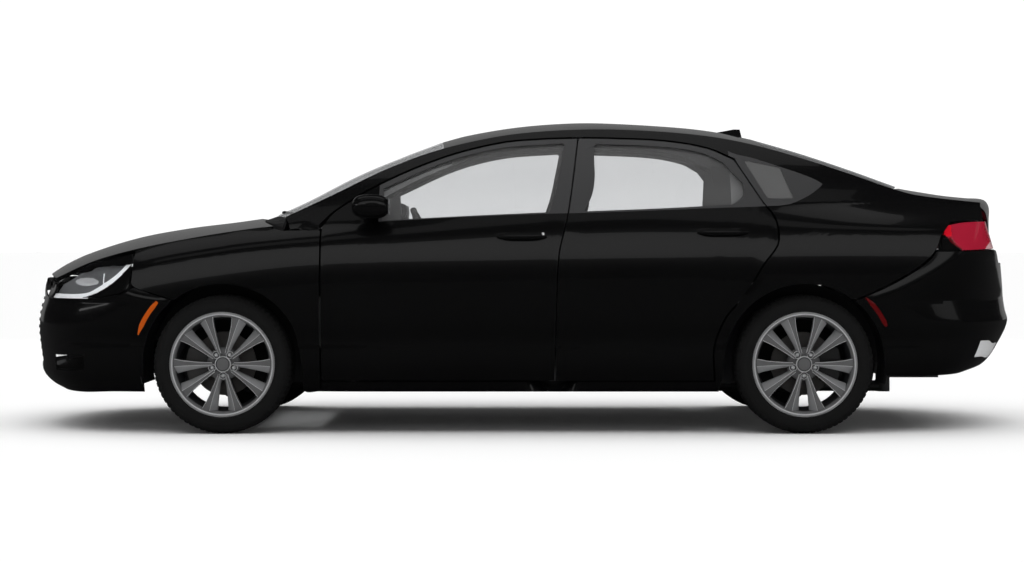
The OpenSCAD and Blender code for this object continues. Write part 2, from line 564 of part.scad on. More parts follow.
taillamp_high = along(concat([place([2246, 545, 1001])], [for (p = spots([[2195, 1001], [2090, 996],
    [1998, 980]])) on_side(p)]), 8);
taillamp_grid = coons(taillamp_low, taillamp_high, between(taillamp_low[0], taillamp_high[0], 3),
    between(taillamp_low[8], taillamp_high[8], 3));
module tail_lamps() {
    color("darkred") both() panel(taillamp_grid, sunk(taillamp_grid, lamp_t), turn = false);
}

// Slim marker lamps along the arches, flush on the skin
marker_r = arch_r + 44;
marker_w = 20;
marker_rise = 2;
function bow_y(x, x_mid, x_end, y_end, power) =
    y_end * pow(sin(acos(pow(min(1, max(0, (x_end - x) / (x_end - x_mid))), power / 2))), 2 / power);
function on_nose(p, rise) = let (e = joint_x(p[1]))
    [p[0], bow_y(p[0], curve(nose_x, p[1]), e, side_y(e, p[1]), nose_power) + rise, p[1]];
function on_tail(p, rise) = let (e = tail_end_x(p[1]))
    [p[0], bow_y(p[0], curve(tail_x, p[1]), e, side_y(e, p[1]), tail_power) + rise, p[1]];
function marker_cells(axle, a, b) = [for (t = between(a, b, 6)) [for (r = [-0.5, 0.5]) arch_point(axle,
    marker_r + r * marker_w, t)]];
function nose_lift(g, rise) = [for (k = g) [for (p = k) on_nose(p, rise)]];
function tail_lift(g, rise) = [for (k = g) [for (p = k) on_tail(p, rise)]];

// Grille bars across the nose opening
grille_bars = 9;
grille_bar_h = 12;
grille_d = 24;
module grille() {
    c = grille_cells;
    qs = [for (i = [-5:5]) i / nose_cols];
    z0 = nose_grid[nose_cols][c[2]][2];
    z1 = nose_grid[nose_cols][c[3]][2];
    color("dimgray")
        for (k = [1:grille_bars]) {
            z = lin(z0, z1, k / (grille_bars + 1));
            g = [for (i = [10:-1:0]) [for (h = [-0.5, 0.5]) let (p = nose_point(qs[i],
                z + h * grille_bar_h))
                p + [1, i == 10 ? -bar_play : i == 0 ? bar_play : 0, 0]]];
            panel(g, sunk(g, grille_d));
        }
}

// Cowl between the hood and the windscreen
cowl_t = 30;
module cowl() {
    front = cap_row(place([-1312, 0, 1016]), place([-1154, 748, 975]));
    rear = cap_row(screen_mid[0] - [2, 0, 4], screen_edge[0] - [1, 20, 6]);
    g = [for (i = [0:10]) [front[i], lin(front[i], rear[i], 0.5), rear[i]]];
    color("dimgray") panel(g, moved_grid(g, [0, 0, -cowl_t]), turn = false);
}
function cap_row(c, e) = [for (i = [5:-1:-5]) cap(c, e, i / 5)];
function moved_grid(g, v) = [for (r = g) moved(r, v)];

// Wheels: local Z points outwards along the axle, zero at the wheel's middle plane
hub_face = 45;
spindle_r = 22;
spindle_play = 0.3;
rim_half = 112;
bead_r = rim_r - 19;
barrel_t = 8;
disc_t = 22;
disc_out = 18;
cap_r = 31;
hub_r = 80;
spoke_top = 92;
spoke_t = 24;
tyre_half = tyre_w / 2;
module wheel_solid() {
    difference() {
        union() {
            rotate_extrude($fn = 96)
                polygon([[bead_r - barrel_t, -rim_half + 6], [rim_r, -rim_half], [rim_r, -rim_half + 6],
                    [bead_r, -rim_half + 9],
                    [bead_r, -60], [bead_r - 12, -40], [bead_r - 12, 30], [bead_r, 60], [bead_r,
                        rim_half - 9],
                    [rim_r, rim_half - 6], [rim_r, rim_half], [rim_r - 8, rim_half], [bead_r - barrel_t,
                        rim_half - 12],
                    [bead_r - barrel_t, 58], [bead_r - 12 - barrel_t, 30], [bead_r - 12 - barrel_t, -40],
                    [bead_r - barrel_t, -60]]);
            for (k = [0:spokes - 1])
                rotate([0, 0, k * 360 / spokes])
                    translate([0, 0, spoke_top - spoke_t])
                        linear_extrude(spoke_t)
                            polygon([[hub_r - 22, -12], [150, -15], [bead_r - 4, -24], [bead_r - 4, 24],
                                [150, 15], [hub_r - 22, 12]]);
            rotate_extrude($fn = 96)
                polygon([[0, hub_face - 2], [hub_r - 4, hub_face - 2], [hub_r, spoke_top - 14],
                    [hub_r - 8, spoke_top - 4],
                    [cap_r + 4, spoke_top - 8], [cap_r, spoke_top - 2], [0, spoke_top]]);
            rotate_extrude($fn = 96)
                polygon([[0, disc_out - disc_t], [disc_r, disc_out - disc_t], [disc_r, disc_out],
                    [hub_r - 4, disc_out],
                    [hub_r - 4, hub_face], [0, hub_face]]);
        }
        translate([0, 0, disc_out - disc_t - 1])
            cylinder(h = hub_face - disc_out + disc_t + 9, r = spindle_r + spindle_play, $fn = 64);
    }
}
module tyre_solid() {
    rotate_extrude($fn = 72)
        polygon([for (m = [1, -1]) each let (half = [[bead_r + 0.4, rim_half - 9.6], [rim_r + 2,
            rim_half - 7], [rim_r + 14, tyre_half - 3],
            [rim_r + 34, tyre_half], [tyre_r - 22, tyre_half - 6], [tyre_r - 8, tyre_half - 18], [tyre_r,
                tyre_half - 42]])
            m > 0 ? [for (i = [0:6]) half[i]] : [for (i = [6:-1:0]) [half[i][0], -half[i][1]]]]);
}
module at_wheel(axle, side) {
    translate([axle, side * hub_y, tyre_r])
        rotate([side > 0 ? -90 : 90, 0, 0])
            children();
}
module tyre_front_left() { color("black") at_wheel(front_axle, -1) tyre_solid(); }
module tyre_front_right() { color("black") at_wheel(front_axle, 1) tyre_solid(); }
module tyre_rear_left() { color("black") at_wheel(rear_axle, -1) tyre_solid(); }
module tyre_rear_right() { color("black") at_wheel(rear_axle, 1) tyre_solid(); }
module wheel_front_left() { color("silver") at_wheel(front_axle, -1) wheel_solid(); }
module wheel_front_right() { color("silver") at_wheel(front_axle, 1) wheel_solid(); }
module wheel_rear_left() { color("silver") at_wheel(rear_axle, -1) wheel_solid(); }
module wheel_rear_right() { color("silver") at_wheel(rear_axle, 1) wheel_solid(); }

// Knuckle with its spindle, bearing housing, steering arm and brake caliper
kingpin_in = 41;
seat_z = 216;
knuckle_t = 34;
bearing_r = 46;
caliper_play = 5;
ball_play = 0.4;
module knuckle_solid(lead, foot) {
    z0 = disc_out - disc_t - 7;
    translate([0, 0, z0 - 52])
        cylinder(h = 52, r = bearing_r, $fn = 64);
    translate([0, 0, z0 - 20])
        cylinder(h = hub_face + 24 - z0, r = spindle_r, $fn = 64);
    translate([-36, foot - tyre_r, -kingpin_in - knuckle_t / 2])
        cube([72, 150 + tyre_r - foot, knuckle_t]);
    difference() {
        intersection() {
            translate([0, 0, disc_out - disc_t - 34])
                cylinder(h = 88, r = disc_r + 28, $fn = 96);
            translate([lead > 0 ? 78 : -78 - 130, -78, disc_out - disc_t - 40])
                cube([130, 156, 100]);
        }
        translate([0, 0, disc_out - disc_t - caliper_play])
            cylinder(h = disc_t + 2 * caliper_play, r = disc_r + caliper_play, $fn = 96);
    }
    translate([lead > 0 ? 20 : -110, -30, -kingpin_in - knuckle_t / 2])
        cube([90, 60, 24]);
}
module at_knuckle(axle, side) {
    translate([axle, side * hub_y, tyre_r])
        rotate([side > 0 ? -90 : 90, 0, 0])
            mirror([0, side > 0 ? 1 : 0, 0])
                children();
}
module knuckle_left() { color("gray") at_knuckle(front_axle, -1) knuckle_solid(-1, seat_z + ball_play); }
module knuckle_right() { color("gray") at_knuckle(front_axle, 1) knuckle_solid(-1, seat_z + ball_play); }

module side_markers() {
    f = marker_cells(front_axle, 160, 137);
    r = marker_cells(rear_axle, 48, 25);
    color("darkorange") both() {
        panel(nose_lift(f, foot_play + marker_rise), nose_lift(f, foot_play), turn = true);
        panel(tail_lift(r, foot_play + marker_rise), tail_lift(r, foot_play), turn = true);
    }
}

// Wheel arch liners
liner_r = arch_r + 16;
liner_t = 4;
apron_y = 468;
liner_y = 848;
module liner(axle, a, b, y0) {
    translate([axle, y0 + bond, tyre_r])
        rotate([90, 0, 0])
            mirror([0, 0, 1])
                rotate([0, 0, a])
                    rotate_extrude(angle = b - a, $fn = 96)
                        translate([liner_r, 0])
                            square([liner_t, liner_y - y0]);
}
module wheel_liners() {
    color("dimgray") both() {
        liner(front_axle, 24, 156, apron_y);
        liner(rear_axle, 26, 154, rear_apron_y);
    }
}

// Floor, firewall, rails, boot floor and shelves in one welded pressing
floor_z = 206;
floor_t = 12;
floor_y = 736;
panel_half = 505;
rear_apron_y = 560;
rail_t = 28;
firewall_x = station(-1000);
seat_riser_x = station(760);
boot_floor_z = 345;
boot_end_x = station(2085);
tunnel_h = 150;
tunnel_w = 150;
module slab(low, high) {
    translate(low)
        cube(high - low);
}
module floor_pan() {
    front_x = firewall_x + 2 + bond;
    riser_x = seat_riser_x - 4;
    nose_x = station(-2236);
    rear_x = boot_end_x - 12;
    rail_in = rear_apron_y - rail_t;
    color("dimgray") {
        slab([front_x, -floor_y, floor_z], [riser_x - bond, floor_y, floor_z + floor_t]);
        translate([front_x, 0, floor_z + floor_t + bond])
            rotate([90, 0, 90])
                linear_extrude(station(425) - front_x)
                    polygon([[-tunnel_w, 0], [tunnel_w, 0], [tunnel_w - 40, tunnel_h], [40 - tunnel_w,
                        tunnel_h]]);
        slab([firewall_x - 12, 4 - floor_y, floor_z], [firewall_x + 2, floor_y - 4, floor_z + 700]);
        slab([nose_x, -panel_half, 330], [nose_x + 12, panel_half, 700]);
        for (m = [0, 1])
            mirror([0, m, 0]) {
                slab([nose_x + 12 + bond, apron_y - rail_t, 420], [firewall_x - 12 - bond, apron_y, 550]);
                slab([front_axle - 330, apron_y - rail_t, 550 + bond], [front_axle + 330, apron_y, 750]);
                slab([riser_x, rail_in, boot_floor_z - 20], [rear_x - bond, rear_apron_y,
                    boot_floor_z + 300]);
            }
        slab([riser_x, -floor_y, floor_z], [riser_x + 12, floor_y, floor_z + 100]);
        slab([riser_x, bond - rail_in, floor_z + 100 + bond], [riser_x + 12, rail_in - bond,
            boot_floor_z - bond]);
        slab([riser_x, bond - rail_in, boot_floor_z], [rear_x - bond, rail_in - bond, boot_floor_z + 10]);
        slab([rear_x, -rear_apron_y, boot_floor_z], [boot_end_x, rear_apron_y, boot_floor_z + 440]);
        for (m = [-1, 1]) {
            nose = sunk(nose_grid, bumper_t)[nose_cols - m * 6][4];
            tail = sunk(tail_grid, bumper_t)[tail_cols + m * 4][5];
            bonnet = sunk(hood_grid, hood_t)[6 - m * 3][2];
            lid = sunk(lid_grid, hood_t)[6 - m * 2][10];
            prop([nose_x - bond, nose[1], nose[2]], nose + [prop_play, 0, 0]);
            prop([nose_x + 6, bonnet[1], 706], bonnet - [0, 0, prop_play]);
            prop([boot_end_x + bond, tail[1], tail[2]], tail - [prop_play, 0, 0]);
            prop([boot_end_x + 6, lid[1], 740], lid - [prop_play, 0, 0]);
        }
    }
}

// Pointed support between two places
prop_r = 9;
prop_play = 0.8;
module prop(a, b) {
    d = b - a;
    translate(a)
        rotate([0, acos(d[2] / norm(d)), atan2(d[1], d[0])])
            cylinder(h = norm(d), r1 = prop_r, r2 = 0.6, $fn = 24);
}

// Engine, subframes and exhaust
module engine_block() {
    color("gray") union() {
        translate([front_axle - 330, -380, subframe_top + bond])
            cube([520, 760, 340]);
        translate([front_axle - 250, -240, subframe_top + 300])
            cube([360, 480, 260]);
    }
}
subframe_top = 262;
arm_t = 26;
module front_subframe() {
    color("dimgray") union() {
        translate([front_axle - 130, -apron_y + rail_t / 2, subframe_top - 70])
            cube([300, 2 * apron_y - rail_t, 70]);
        for (m = [-1, 1]) {
            translate([front_axle, m * (hub_y - kingpin_in), seat_z - arm_t])
                cylinder(h = arm_t, r = 34, $fn = 48);
            translate([front_axle - 28, m > 0 ? 380 : kingpin_in - hub_y, seat_z - arm_t])
                cube([56, hub_y - kingpin_in - 380, arm_t - 4]);
            translate([front_axle + 60, m * (apron_y - rail_t / 2), subframe_top - 40])
                cylinder(h = 420 - subframe_top + 40 - bond, r = 13, $fn = 32);
        }
    }
}
module rear_subframe() {
    color("dimgray") union() {
        translate([rear_axle - 60, -rear_apron_y + 8, 250])
            cube([120, 2 * (rear_apron_y - 8), 66]);
        for (m = [-1, 1]) {
            translate([rear_axle - 30, m > 0 ? 500 : -500 - (hub_y - kingpin_in - 490), 262])
                cube([60, hub_y - kingpin_in - 490, 46]);
            at_knuckle(rear_axle, m)
                knuckle_solid(1, 240);
            translate([rear_axle - 20, m * (rear_apron_y - 60), 300])
                cylinder(h = boot_floor_z - 300 - bond, r = 22, $fn = 32);
        }
    }
}
pipe_r = 28;
pipe_y = 300;
module exhaust() {
    color("silver") union() {
        translate([station(-900), 0, 170])
            rotate([0, 90, 0])
                cylinder(h = station(1840) - station(-900), r = pipe_r, $fn = 32);
        translate([station(1840), 0, 170 - pipe_r])
            cylinder(h = 100, r = pipe_r + 8, $fn = 32);
        translate([station(1800), -330, 232])
            cube([260, 660, 96]);
        for (m = [-1, 1])
            translate([station(1930), m * pipe_y, 310])
                cylinder(h = boot_floor_z - 310 - bond, r = 12, $fn = 32);
        for (x = [-500, 100, 600])
            translate([station(x), 0, 170])
                cylinder(h = floor_z - 170 - bond, r = 10, $fn = 32);
        for (m = [-1, 1])
            translate([station(2050), m * pipe_y, 278])
                rotate([0, 90, 0])
                    cylinder(h = station(2150) - station(2050), r = pipe_r, $fn = 32);
    }
}

// Cabin
dash_x = firewall_x + 2 + bond;
dash_w = 1442;
module dashboard() {
    color("dimgray")
        across_car(0, dash_w)
                    polygon([[dash_x, 640], [dash_x, 960], [dash_x + 120, 985], [dash_x + 300, 975],
                        [dash_x + 400, 915],
                        [dash_x + 400, 840], [dash_x + 330, 700], [dash_x + 200, 640]]);
}
wheel_r = 185;
module steering_wheel() {
    color("dimgray")
        translate([dash_x + 520, -370, 905])
            rotate([0, 66, 0]) {
                rotate_extrude($fn = 64)
                    translate([wheel_r - 15, 0])
                        circle(r = 15, $fn = 24);
                for (a = [90, 210, 330])
                    rotate([0, 0, a])
                        translate([30, -16, -9])
                            cube([wheel_r - 38, 32, 14]);
                translate([0, 0, -30])
                    cylinder(h = 44, r = 62, $fn = 48);
                translate([0, 0, -119])
                    cylinder(h = 97, r = 26, $fn = 32);
            }
}
// Seats: a side profile across the width, with the headrests on top
cushion_top = 500;
floor_top = floor_z + floor_t;
seat_w = 480;
rest_w = 260;
module across_car(y, w) {
    translate([0, y + w / 2, 0])
        rotate([90, 0, 0])
            linear_extrude(w)
                children();
}
module seat(x, y) {
    translate([x, 0, 0]) {
        across_car(y, seat_w)
            polygon([[30, floor_top + bond], [450, floor_top + bond], [470, 320], [560, 330], [770, 950],
                [740, 985], [690, 980],
                [500, 540], [450, cushion_top - 10], [60, cushion_top], [10, cushion_top - 30], [0, 400],
                    [20, 330]]);
        across_car(y, rest_w)
            polygon([[694, 960], [766, 940], [806, 1110], [780, 1135], [728, 1130]]);
    }
}
module front_seats() {
    color("dimgray")
        for (m = [-1, 1])
            seat(station(-480), m * 402);
}
rear_seat_w = 2 * (rear_apron_y - rail_t) - 8;
module rear_seat() {
    x = seat_riser_x;
    color("dimgray") {
        across_car(0, rear_seat_w)
            polygon([[x - 300, floor_top + bond], [x - 5, floor_top + bond], [x - 5,
                boot_floor_z + 10 + bond],
                [x + 200, boot_floor_z + 10 + bond], [x + 440, 985], [x + 400, 1020], [x + 350, 1010],
                    [x + 120, 560],
                [x + 80, 515], [x - 260, 520], [x - 310, 490], [x - 320, 420]]);
        for (m = [-1, 1])
            across_car(m * 330, rest_w)
                polygon([[x + 352, 990], [x + 430, 970], [x + 470, 1100], [x + 440, 1125], [x + 392,
                    1120]]);
    }
}

// Small outer pieces
wiper_w = 0.06;
wiper_t = 9;
function on_screen(u, f, up_by) = lin(cap(screen_mid[0], screen_edge[0], u), cap(screen_mid[1],
    screen_edge[1], u), f) + [0, 0, up_by];
module wiper(a, b) {
    us = between(a, b, 8);
    g = [for (u = us) [for (f = [0.12, 0.12 + wiper_w]) on_screen(u, f, foot_play + wiper_t)]];
    h = [for (u = us) [for (f = [0.12, 0.12 + wiper_w]) on_screen(u, f, foot_play)]];
    panel(g, h);
}
module wipers() {
    color("black") {
        wiper(0.12, -0.72);
        wiper(0.82, 0.2);
    }
}
fin_h = 46;
fin_w = 32;
fin_seat = 1.4;
function roof_z_at(x) = lookup(x, [for (p = roof_mid) [p[0], p[2]]]);
module antenna_fin() {
    x0 = station(972);
    x1 = station(1118);
    z0 = roof_z_at(x0) + fin_seat;
    z1 = roof_z_at(x1) + fin_seat;
    color("black")
        across_car(0, fin_w)
            polygon([[x0, z0], [lin(x0, x1, 0.7), lin(z0, z1, 0.7) + fin_h - 6], [lin(x0, x1, 0.92),
                lin(z0, z1, 0.92) + fin_h],
                [x1, z1]]);
}
mirror_seat = 6;
module mirror_solid() {
    x0 = station(-722);
    z0 = up(1052);
    k = 16;
    function ring(y, x, z, rx, rz, seat) = [for (i = [0:k - 1]) let (px = x + rx * cos(360 * i / k),
        pz = z + rz * sin(360 * i / k))
        [px, seat ? side_y(px, pz) + mirror_seat : y, pz]];
    yb = side_y(x0, z0);
    loft([ring(0, x0, z0, 42, 18, true), ring(yb + 30, x0, z0, 42, 20, false), ring(yb + 52, x0 - 2,
        z0 + 14, 84, 52, false),
        ring(yb + 110, x0, z0 + 17, 90, 58, false), ring(yb + 160, x0 + 4, z0 + 17, 82, 54, false),
        ring(yb + 182, x0 + 10, z0 + 17, 56, 40, false)]);
}
module mirror_left() { color("black") left() mirror_solid(); }
module mirror_right() { color("black") mirror_solid(); }

floor_pan();
side_frame_left();
side_frame_right();
roof_panel();
front_fenders();
front_bumper();
grille();
rear_bumper();
cowl();
windscreen();
rear_window();
quarter_windows();
headlamps();
fog_lamps();
tail_lamps();
side_markers();
wheel_liners();
engine_block();
front_subframe();
rear_subframe();
exhaust();
dashboard();
steering_wheel();
front_seats();
rear_seat();
wipers();
antenna_fin();
hood();
boot_lid();
front_door_left();
front_door_right();
rear_door_left();
rear_door_right();
front_glass_left();
front_glass_right();
rear_glass_left();
rear_glass_right();
mirror_left();
mirror_right();
knuckle_left();
knuckle_right();
tyre_front_left();
tyre_front_right();
tyre_rear_left();
tyre_rear_right();
wheel_front_left();
wheel_front_right();
wheel_rear_left();
wheel_rear_right();
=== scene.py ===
import math
import bpy
import bmesh
import numpy as np
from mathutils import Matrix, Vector


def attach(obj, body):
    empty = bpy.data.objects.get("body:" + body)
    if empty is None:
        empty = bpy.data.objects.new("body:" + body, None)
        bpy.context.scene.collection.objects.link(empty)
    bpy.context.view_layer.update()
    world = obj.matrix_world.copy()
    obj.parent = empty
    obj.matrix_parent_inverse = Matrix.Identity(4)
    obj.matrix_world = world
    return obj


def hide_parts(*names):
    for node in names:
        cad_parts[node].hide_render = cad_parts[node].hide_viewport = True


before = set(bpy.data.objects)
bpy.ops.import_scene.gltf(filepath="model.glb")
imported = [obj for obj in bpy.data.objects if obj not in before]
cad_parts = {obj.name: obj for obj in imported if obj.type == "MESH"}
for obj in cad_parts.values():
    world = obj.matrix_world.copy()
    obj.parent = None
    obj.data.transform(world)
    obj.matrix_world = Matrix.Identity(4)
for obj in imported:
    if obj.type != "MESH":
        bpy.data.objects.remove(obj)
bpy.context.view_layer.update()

# The sedan's own sizes in millimetres, as in the solids
MM = 0.001
FINE = 4
FRONT_AXLE, REAR_AXLE = -1422.5, 1319.5
HUB_Y, TYRE_R, TYRE_W, RIM_R = 796, 327, 232, 248
SILL_H, GAP, DOOR_T, FRAME_T, SKIN_T, GLASS_T, ROOF_T = 196, 7, 110, 46, 10, 5, 26
ARCH_R = 380
BOND = 0.5


# Smooth curves through knots
def curve(knots, x):
    k = np.asarray(knots, float)
    at = np.asarray(x, float)
    i = np.clip(np.searchsorted(k[:, 0], at, side="right") - 1, 0, len(k) - 2)
    n = np.arange(len(k))
    lo, hi = np.maximum(n - 1, 0), np.minimum(n + 1, len(k) - 1)
    slope = (k[hi, 1] - k[lo, 1]) / (k[hi, 0] - k[lo, 0])
    h = k[i + 1, 0] - k[i, 0]
    q = (at - k[i, 0]) / h
    t = np.clip(q, 0, 1)
    a, b, d = slope[i] * h, slope[i + 1] * h, k[i + 1, 1] - k[i, 1]
    return k[i, 1] + a * t + (3 * d - 2 * a - b) * t * t + (a + b - 2 * d) * t ** 3 + (q - t) * np.where(q > t, b, a)


def along_at(points, shares):
    p = np.asarray(points, float)
    run = np.concatenate([[0], np.cumsum(np.linalg.norm(np.diff(p, axis=0), axis=1))])
    d = run[-1] * np.asarray(shares, float)
    return np.stack([curve(np.stack([run, p[:, c]], 1), d) for c in range(p.shape[1])], 1)


def along(points, n):
    return along_at(points, np.linspace(0, 1, n + 1))


def between(a, b, n):
    t = np.linspace(0, 1, n + 1)[:, None]
    return np.asarray(a, float) * (1 - t) + np.asarray(b, float) * t


def joined(*runs):
    return np.concatenate([r if k == 0 else r[1:] for k, r in enumerate(runs)])


def coons(low, high, left, right):
    low, high, left, right = (np.asarray(v, float) for v in (low, high, left, right))
    s = np.linspace(0, 1, len(low))[:, None, None]
    w = np.linspace(0, 1, len(left))[None, :, None]
    return ((1 - w) * low[:, None] + w * high[:, None] + (1 - s) * left[None] + s * right[None]
            - (1 - s) * (1 - w) * low[0] - s * (1 - w) * low[-1] - (1 - s) * w * high[0] - s * w * high[-1])


def spread(coarse, n=FINE):
    g = np.asarray(coarse, float)
    for axis in (0, 1):
        m = g.shape[axis]
        at = np.linspace(0, m - 1, (m - 1) * n + 1)
        i = np.minimum(at.astype(int), m - 2)
        t = at - i
        t = t.reshape([-1 if a == axis else 1 for a in range(g.ndim)])
        g = np.take(g, i, axis) * (1 - t) + np.take(g, i + 1, axis) * t
    return g


# Guide curves of the body side
MAX_W = [[-2200, 770], [-1900, 872], [-1423, 922], [-900, 932], [0, 935], [900, 935], [1320, 930], [1750, 900],
         [2100, 830], [2300, 745]]
CREASE_Z = [[-2300, 640], [-1868, 765], [-1400, 850], [-957, 900], [0, 925], [1190, 943], [2000, 950]]
BELT_Z = [[-2300, 742], [-1868, 866], [-1400, 952], [-1134, 984], [-957, 984], [-606, 1005], [80, 1038], [320, 1042],
          [1124, 1075], [1500, 1090], [1900, 1098], [2250, 1082]]
BELT_Y = [[-2300, 590], [-1868, 762], [-1400, 805], [-1134, 802], [-900, 838], [-600, 858], [0, 872], [600, 872],
          [1000, 852], [1300, 812], [1600, 742], [1900, 650], [2250, 575]]
RAIL_Z = [[-1134, 1024], [-903, 1134], [-673, 1249], [-443, 1340], [-200, 1402], [0, 1434], [300, 1452], [600, 1444],
          [900, 1415], [1124, 1369], [1356, 1301], [1589, 1224], [1763, 1165], [1900, 1130], [2250, 1092]]
TUCK_IN = [[150, 118], [SILL_H + 4, 78], [260, 50], [330, 31], [400, 27], [440, 29], [490, 15], [560, 6], [650, 0],
           [2000, 0]]
CREASE_IN, CREASE_RISE, SHOULDER_POWER, LEAN, BARREL = 22, 200, 1.6, 0.45, 0.000795


def side_y(x, z):
    x, z = np.asarray(x, float), np.asarray(z, float)
    w, c, b, yb = curve(MAX_W, x), curve(CREASE_Z, x), curve(BELT_Z, x), curve(BELT_Y, x)
    low = w - curve(TUCK_IN, z) - CREASE_IN * np.maximum(0, (z - c + CREASE_RISE) / CREASE_RISE) ** 2
    t = np.clip((z - c) / (b - c), 0, 1) ** SHOULDER_POWER
    mid = (w - CREASE_IN) * (1 - t) + yb * t
    h = z - b
    return np.where(z <= c, low, np.where(z <= b, mid, yb - LEAN * h - BARREL * h * h))


def on_side(p, deep=0.0):
    p = np.asarray(p, float)
    return np.stack([p[..., 0], side_y(p[..., 0], p[..., 1]) - deep, p[..., 1]], -1)


def frame_share(p):
    return np.clip((p[..., 1] - curve(BELT_Z, p[..., 0]) + 30) / 50, 0, 1)


def door_depth(p):
    return DOOR_T + (FRAME_T - DOOR_T) * frame_share(p)


# Door outlines in side view
DOOR_LOW, DOOR_BEVEL, FRAME_BEVEL, FOLD_STEP = SILL_H + 54, 58, 24, 4
FRONT_EDGE = [[-957, DOOR_LOW], [-957, 620], [-957, 975]]
SPLIT_EDGE = np.array([[144, DOOR_LOW], [162, 833], [206, 1031], [261, 1404]], float)
FRONT_TOP = np.array([[-957, 975], [-900, 1044], [-671, 1184], [-372, 1312], [-109, 1380], [80, 1398], [261, 1404]],
                     float)
ARCH_EDGE_R = ARCH_R + 58


def arch_point(axle, r, a):
    return [axle + r * math.cos(math.radians(a)), TYRE_R + r * math.sin(math.radians(a))]


REAR_EDGE = np.array([[REAR_AXLE - ARCH_EDGE_R + 12, DOOR_LOW]]
                     + [arch_point(REAR_AXLE, ARCH_EDGE_R, a) for a in (170, 150, 130)]
                     + [[1120, 800], [1186, 890], [1192, 955], [1172, 1031], [1128, 1090], [1003, 1296]], float)
REAR_TOP = np.array([[261, 1404], [420, 1402], [682, 1388], [880, 1352], [1003, 1296]], float)
COL_A, COL_W, COL_B, ROW_LOW, ROW_WIN, ROW_TOP = 3, 7, 1, 6, 4, 1
DOOR_COLS, DOOR_ROWS = COL_A + COL_W + COL_B, ROW_LOW + ROW_WIN + ROW_TOP
WINDOW_CELLS = (COL_A * FINE, (COL_A + COL_W) * FINE, ROW_LOW * FINE, (ROW_LOW + ROW_WIN) * FINE)


def door_grid(low, top, front, rear, sill_line, head_line, n=FINE):
    a, b = ROW_LOW * n, (ROW_LOW + ROW_WIN) * n
    left, right = along(front, DOOR_ROWS * n), along(rear, DOOR_ROWS * n)
    belt_row = joined(between(left[a], sill_line[0], COL_A * n), along(sill_line, COL_W * n),
                      between(sill_line[-1], right[a], COL_B * n))
    head_row = joined(between(left[b], head_line[0], COL_A * n), along(head_line, COL_W * n),
                      between(head_line[-1], right[b], COL_B * n))
    low_row, top_row = along(low, DOOR_COLS * n), along(top, DOOR_COLS * n)
    parts = [coons(low_row, belt_row, left[:a + 1], right[:a + 1]),
             coons(belt_row, head_row, left[a:b + 1], right[a:b + 1]),
             coons(head_row, top_row, left[b:], right[b:])]
    return np.concatenate([parts[0], parts[1][:, 1:], parts[2][:, 1:]], 1)


HALF = np.array([GAP / 2, 0])
front_door_grid = door_grid([FRONT_EDGE[0], SPLIT_EDGE[0] - HALF], np.vstack([FRONT_TOP[:-1], [FRONT_TOP[-1] - HALF]]),
                            FRONT_EDGE, SPLIT_EDGE - HALF, [[-671, 1006], [-280, 1026], [118, 1044]],
                            [[-671, 1158], [-372, 1290], [-109, 1357], [196, 1381]])
rear_door_grid = door_grid([SPLIT_EDGE[0] + HALF, REAR_EDGE[0]], np.vstack([[REAR_TOP[0] + HALF], REAR_TOP[1:]]),
                           SPLIT_EDGE + HALF, REAR_EDGE, [[282, 1048], [640, 1062], [980, 1080]],
                           [[336, 1378], [682, 1362], [860, 1330], [952, 1284]])


def door_inner(g, n=FINE):
    cols, rows = g.shape[0] - 1, g.shape[1] - 1
    i, j = np.arange(cols + 1)[:, None], np.arange(rows + 1)[None, :]
    bevel = DOOR_BEVEL + (FRAME_BEVEL - DOOR_BEVEL) * frame_share(g)
    near = g[:1, :, 0] + bevel + FOLD_STEP * i / n
    far = g[-1:, :, 0] - bevel - FOLD_STEP * (cols - i) / n
    ramp_j = DOOR_BEVEL * np.maximum(0, 1 - j / n) - 4 * np.maximum(0, 1 - (rows - j) / n)
    return np.stack([np.minimum(np.maximum(g[..., 0], near), far), side_y(g[..., 0], g[..., 1]) - door_depth(g),
                     g[..., 1] + ramp_j], -1)


# Side frame: ring round both door openings with pillars, sill, roof rail and rear quarter
RING_ROWS, RING_T, SILL_TUCK = 11, 34, 60
FRONT_SPAN, REAR_SPAN, QUARTER_COLS = 8, 7, 26
PILLAR_COLS = (1 + FRONT_SPAN, 2 + FRONT_SPAN)
QUARTER_COL = PILLAR_COLS[1] + REAR_SPAN
QUARTER_START, QUARTER_END, QUARTER_EASE, SHARE_STEPS = 1068, 2215, 1.35, 260
OPENING_LOW, RAIL_CLEAR, QUARTER_GAP = DOOR_LOW - GAP, GAP + 2, GAP + 1
POST_X = FRONT_EDGE[0][0] - 16


def rail(x):
    x = np.asarray(x, float)
    return np.stack([x, curve(RAIL_Z, x)], -1)


def beside(pts, d):
    p = np.asarray(pts, float)
    t = p[np.minimum(np.arange(len(p)) + 1, len(p) - 1)] - p[np.maximum(np.arange(len(p)) - 1, 0)]
    t /= np.linalg.norm(t, axis=1)[:, None]
    return p + d * np.stack([t[:, 1], -t[:, 0]], 1)


def refine(column, n):
    return joined(*[between(column[k], column[k + 1], n) for k in range(len(column) - 1)])


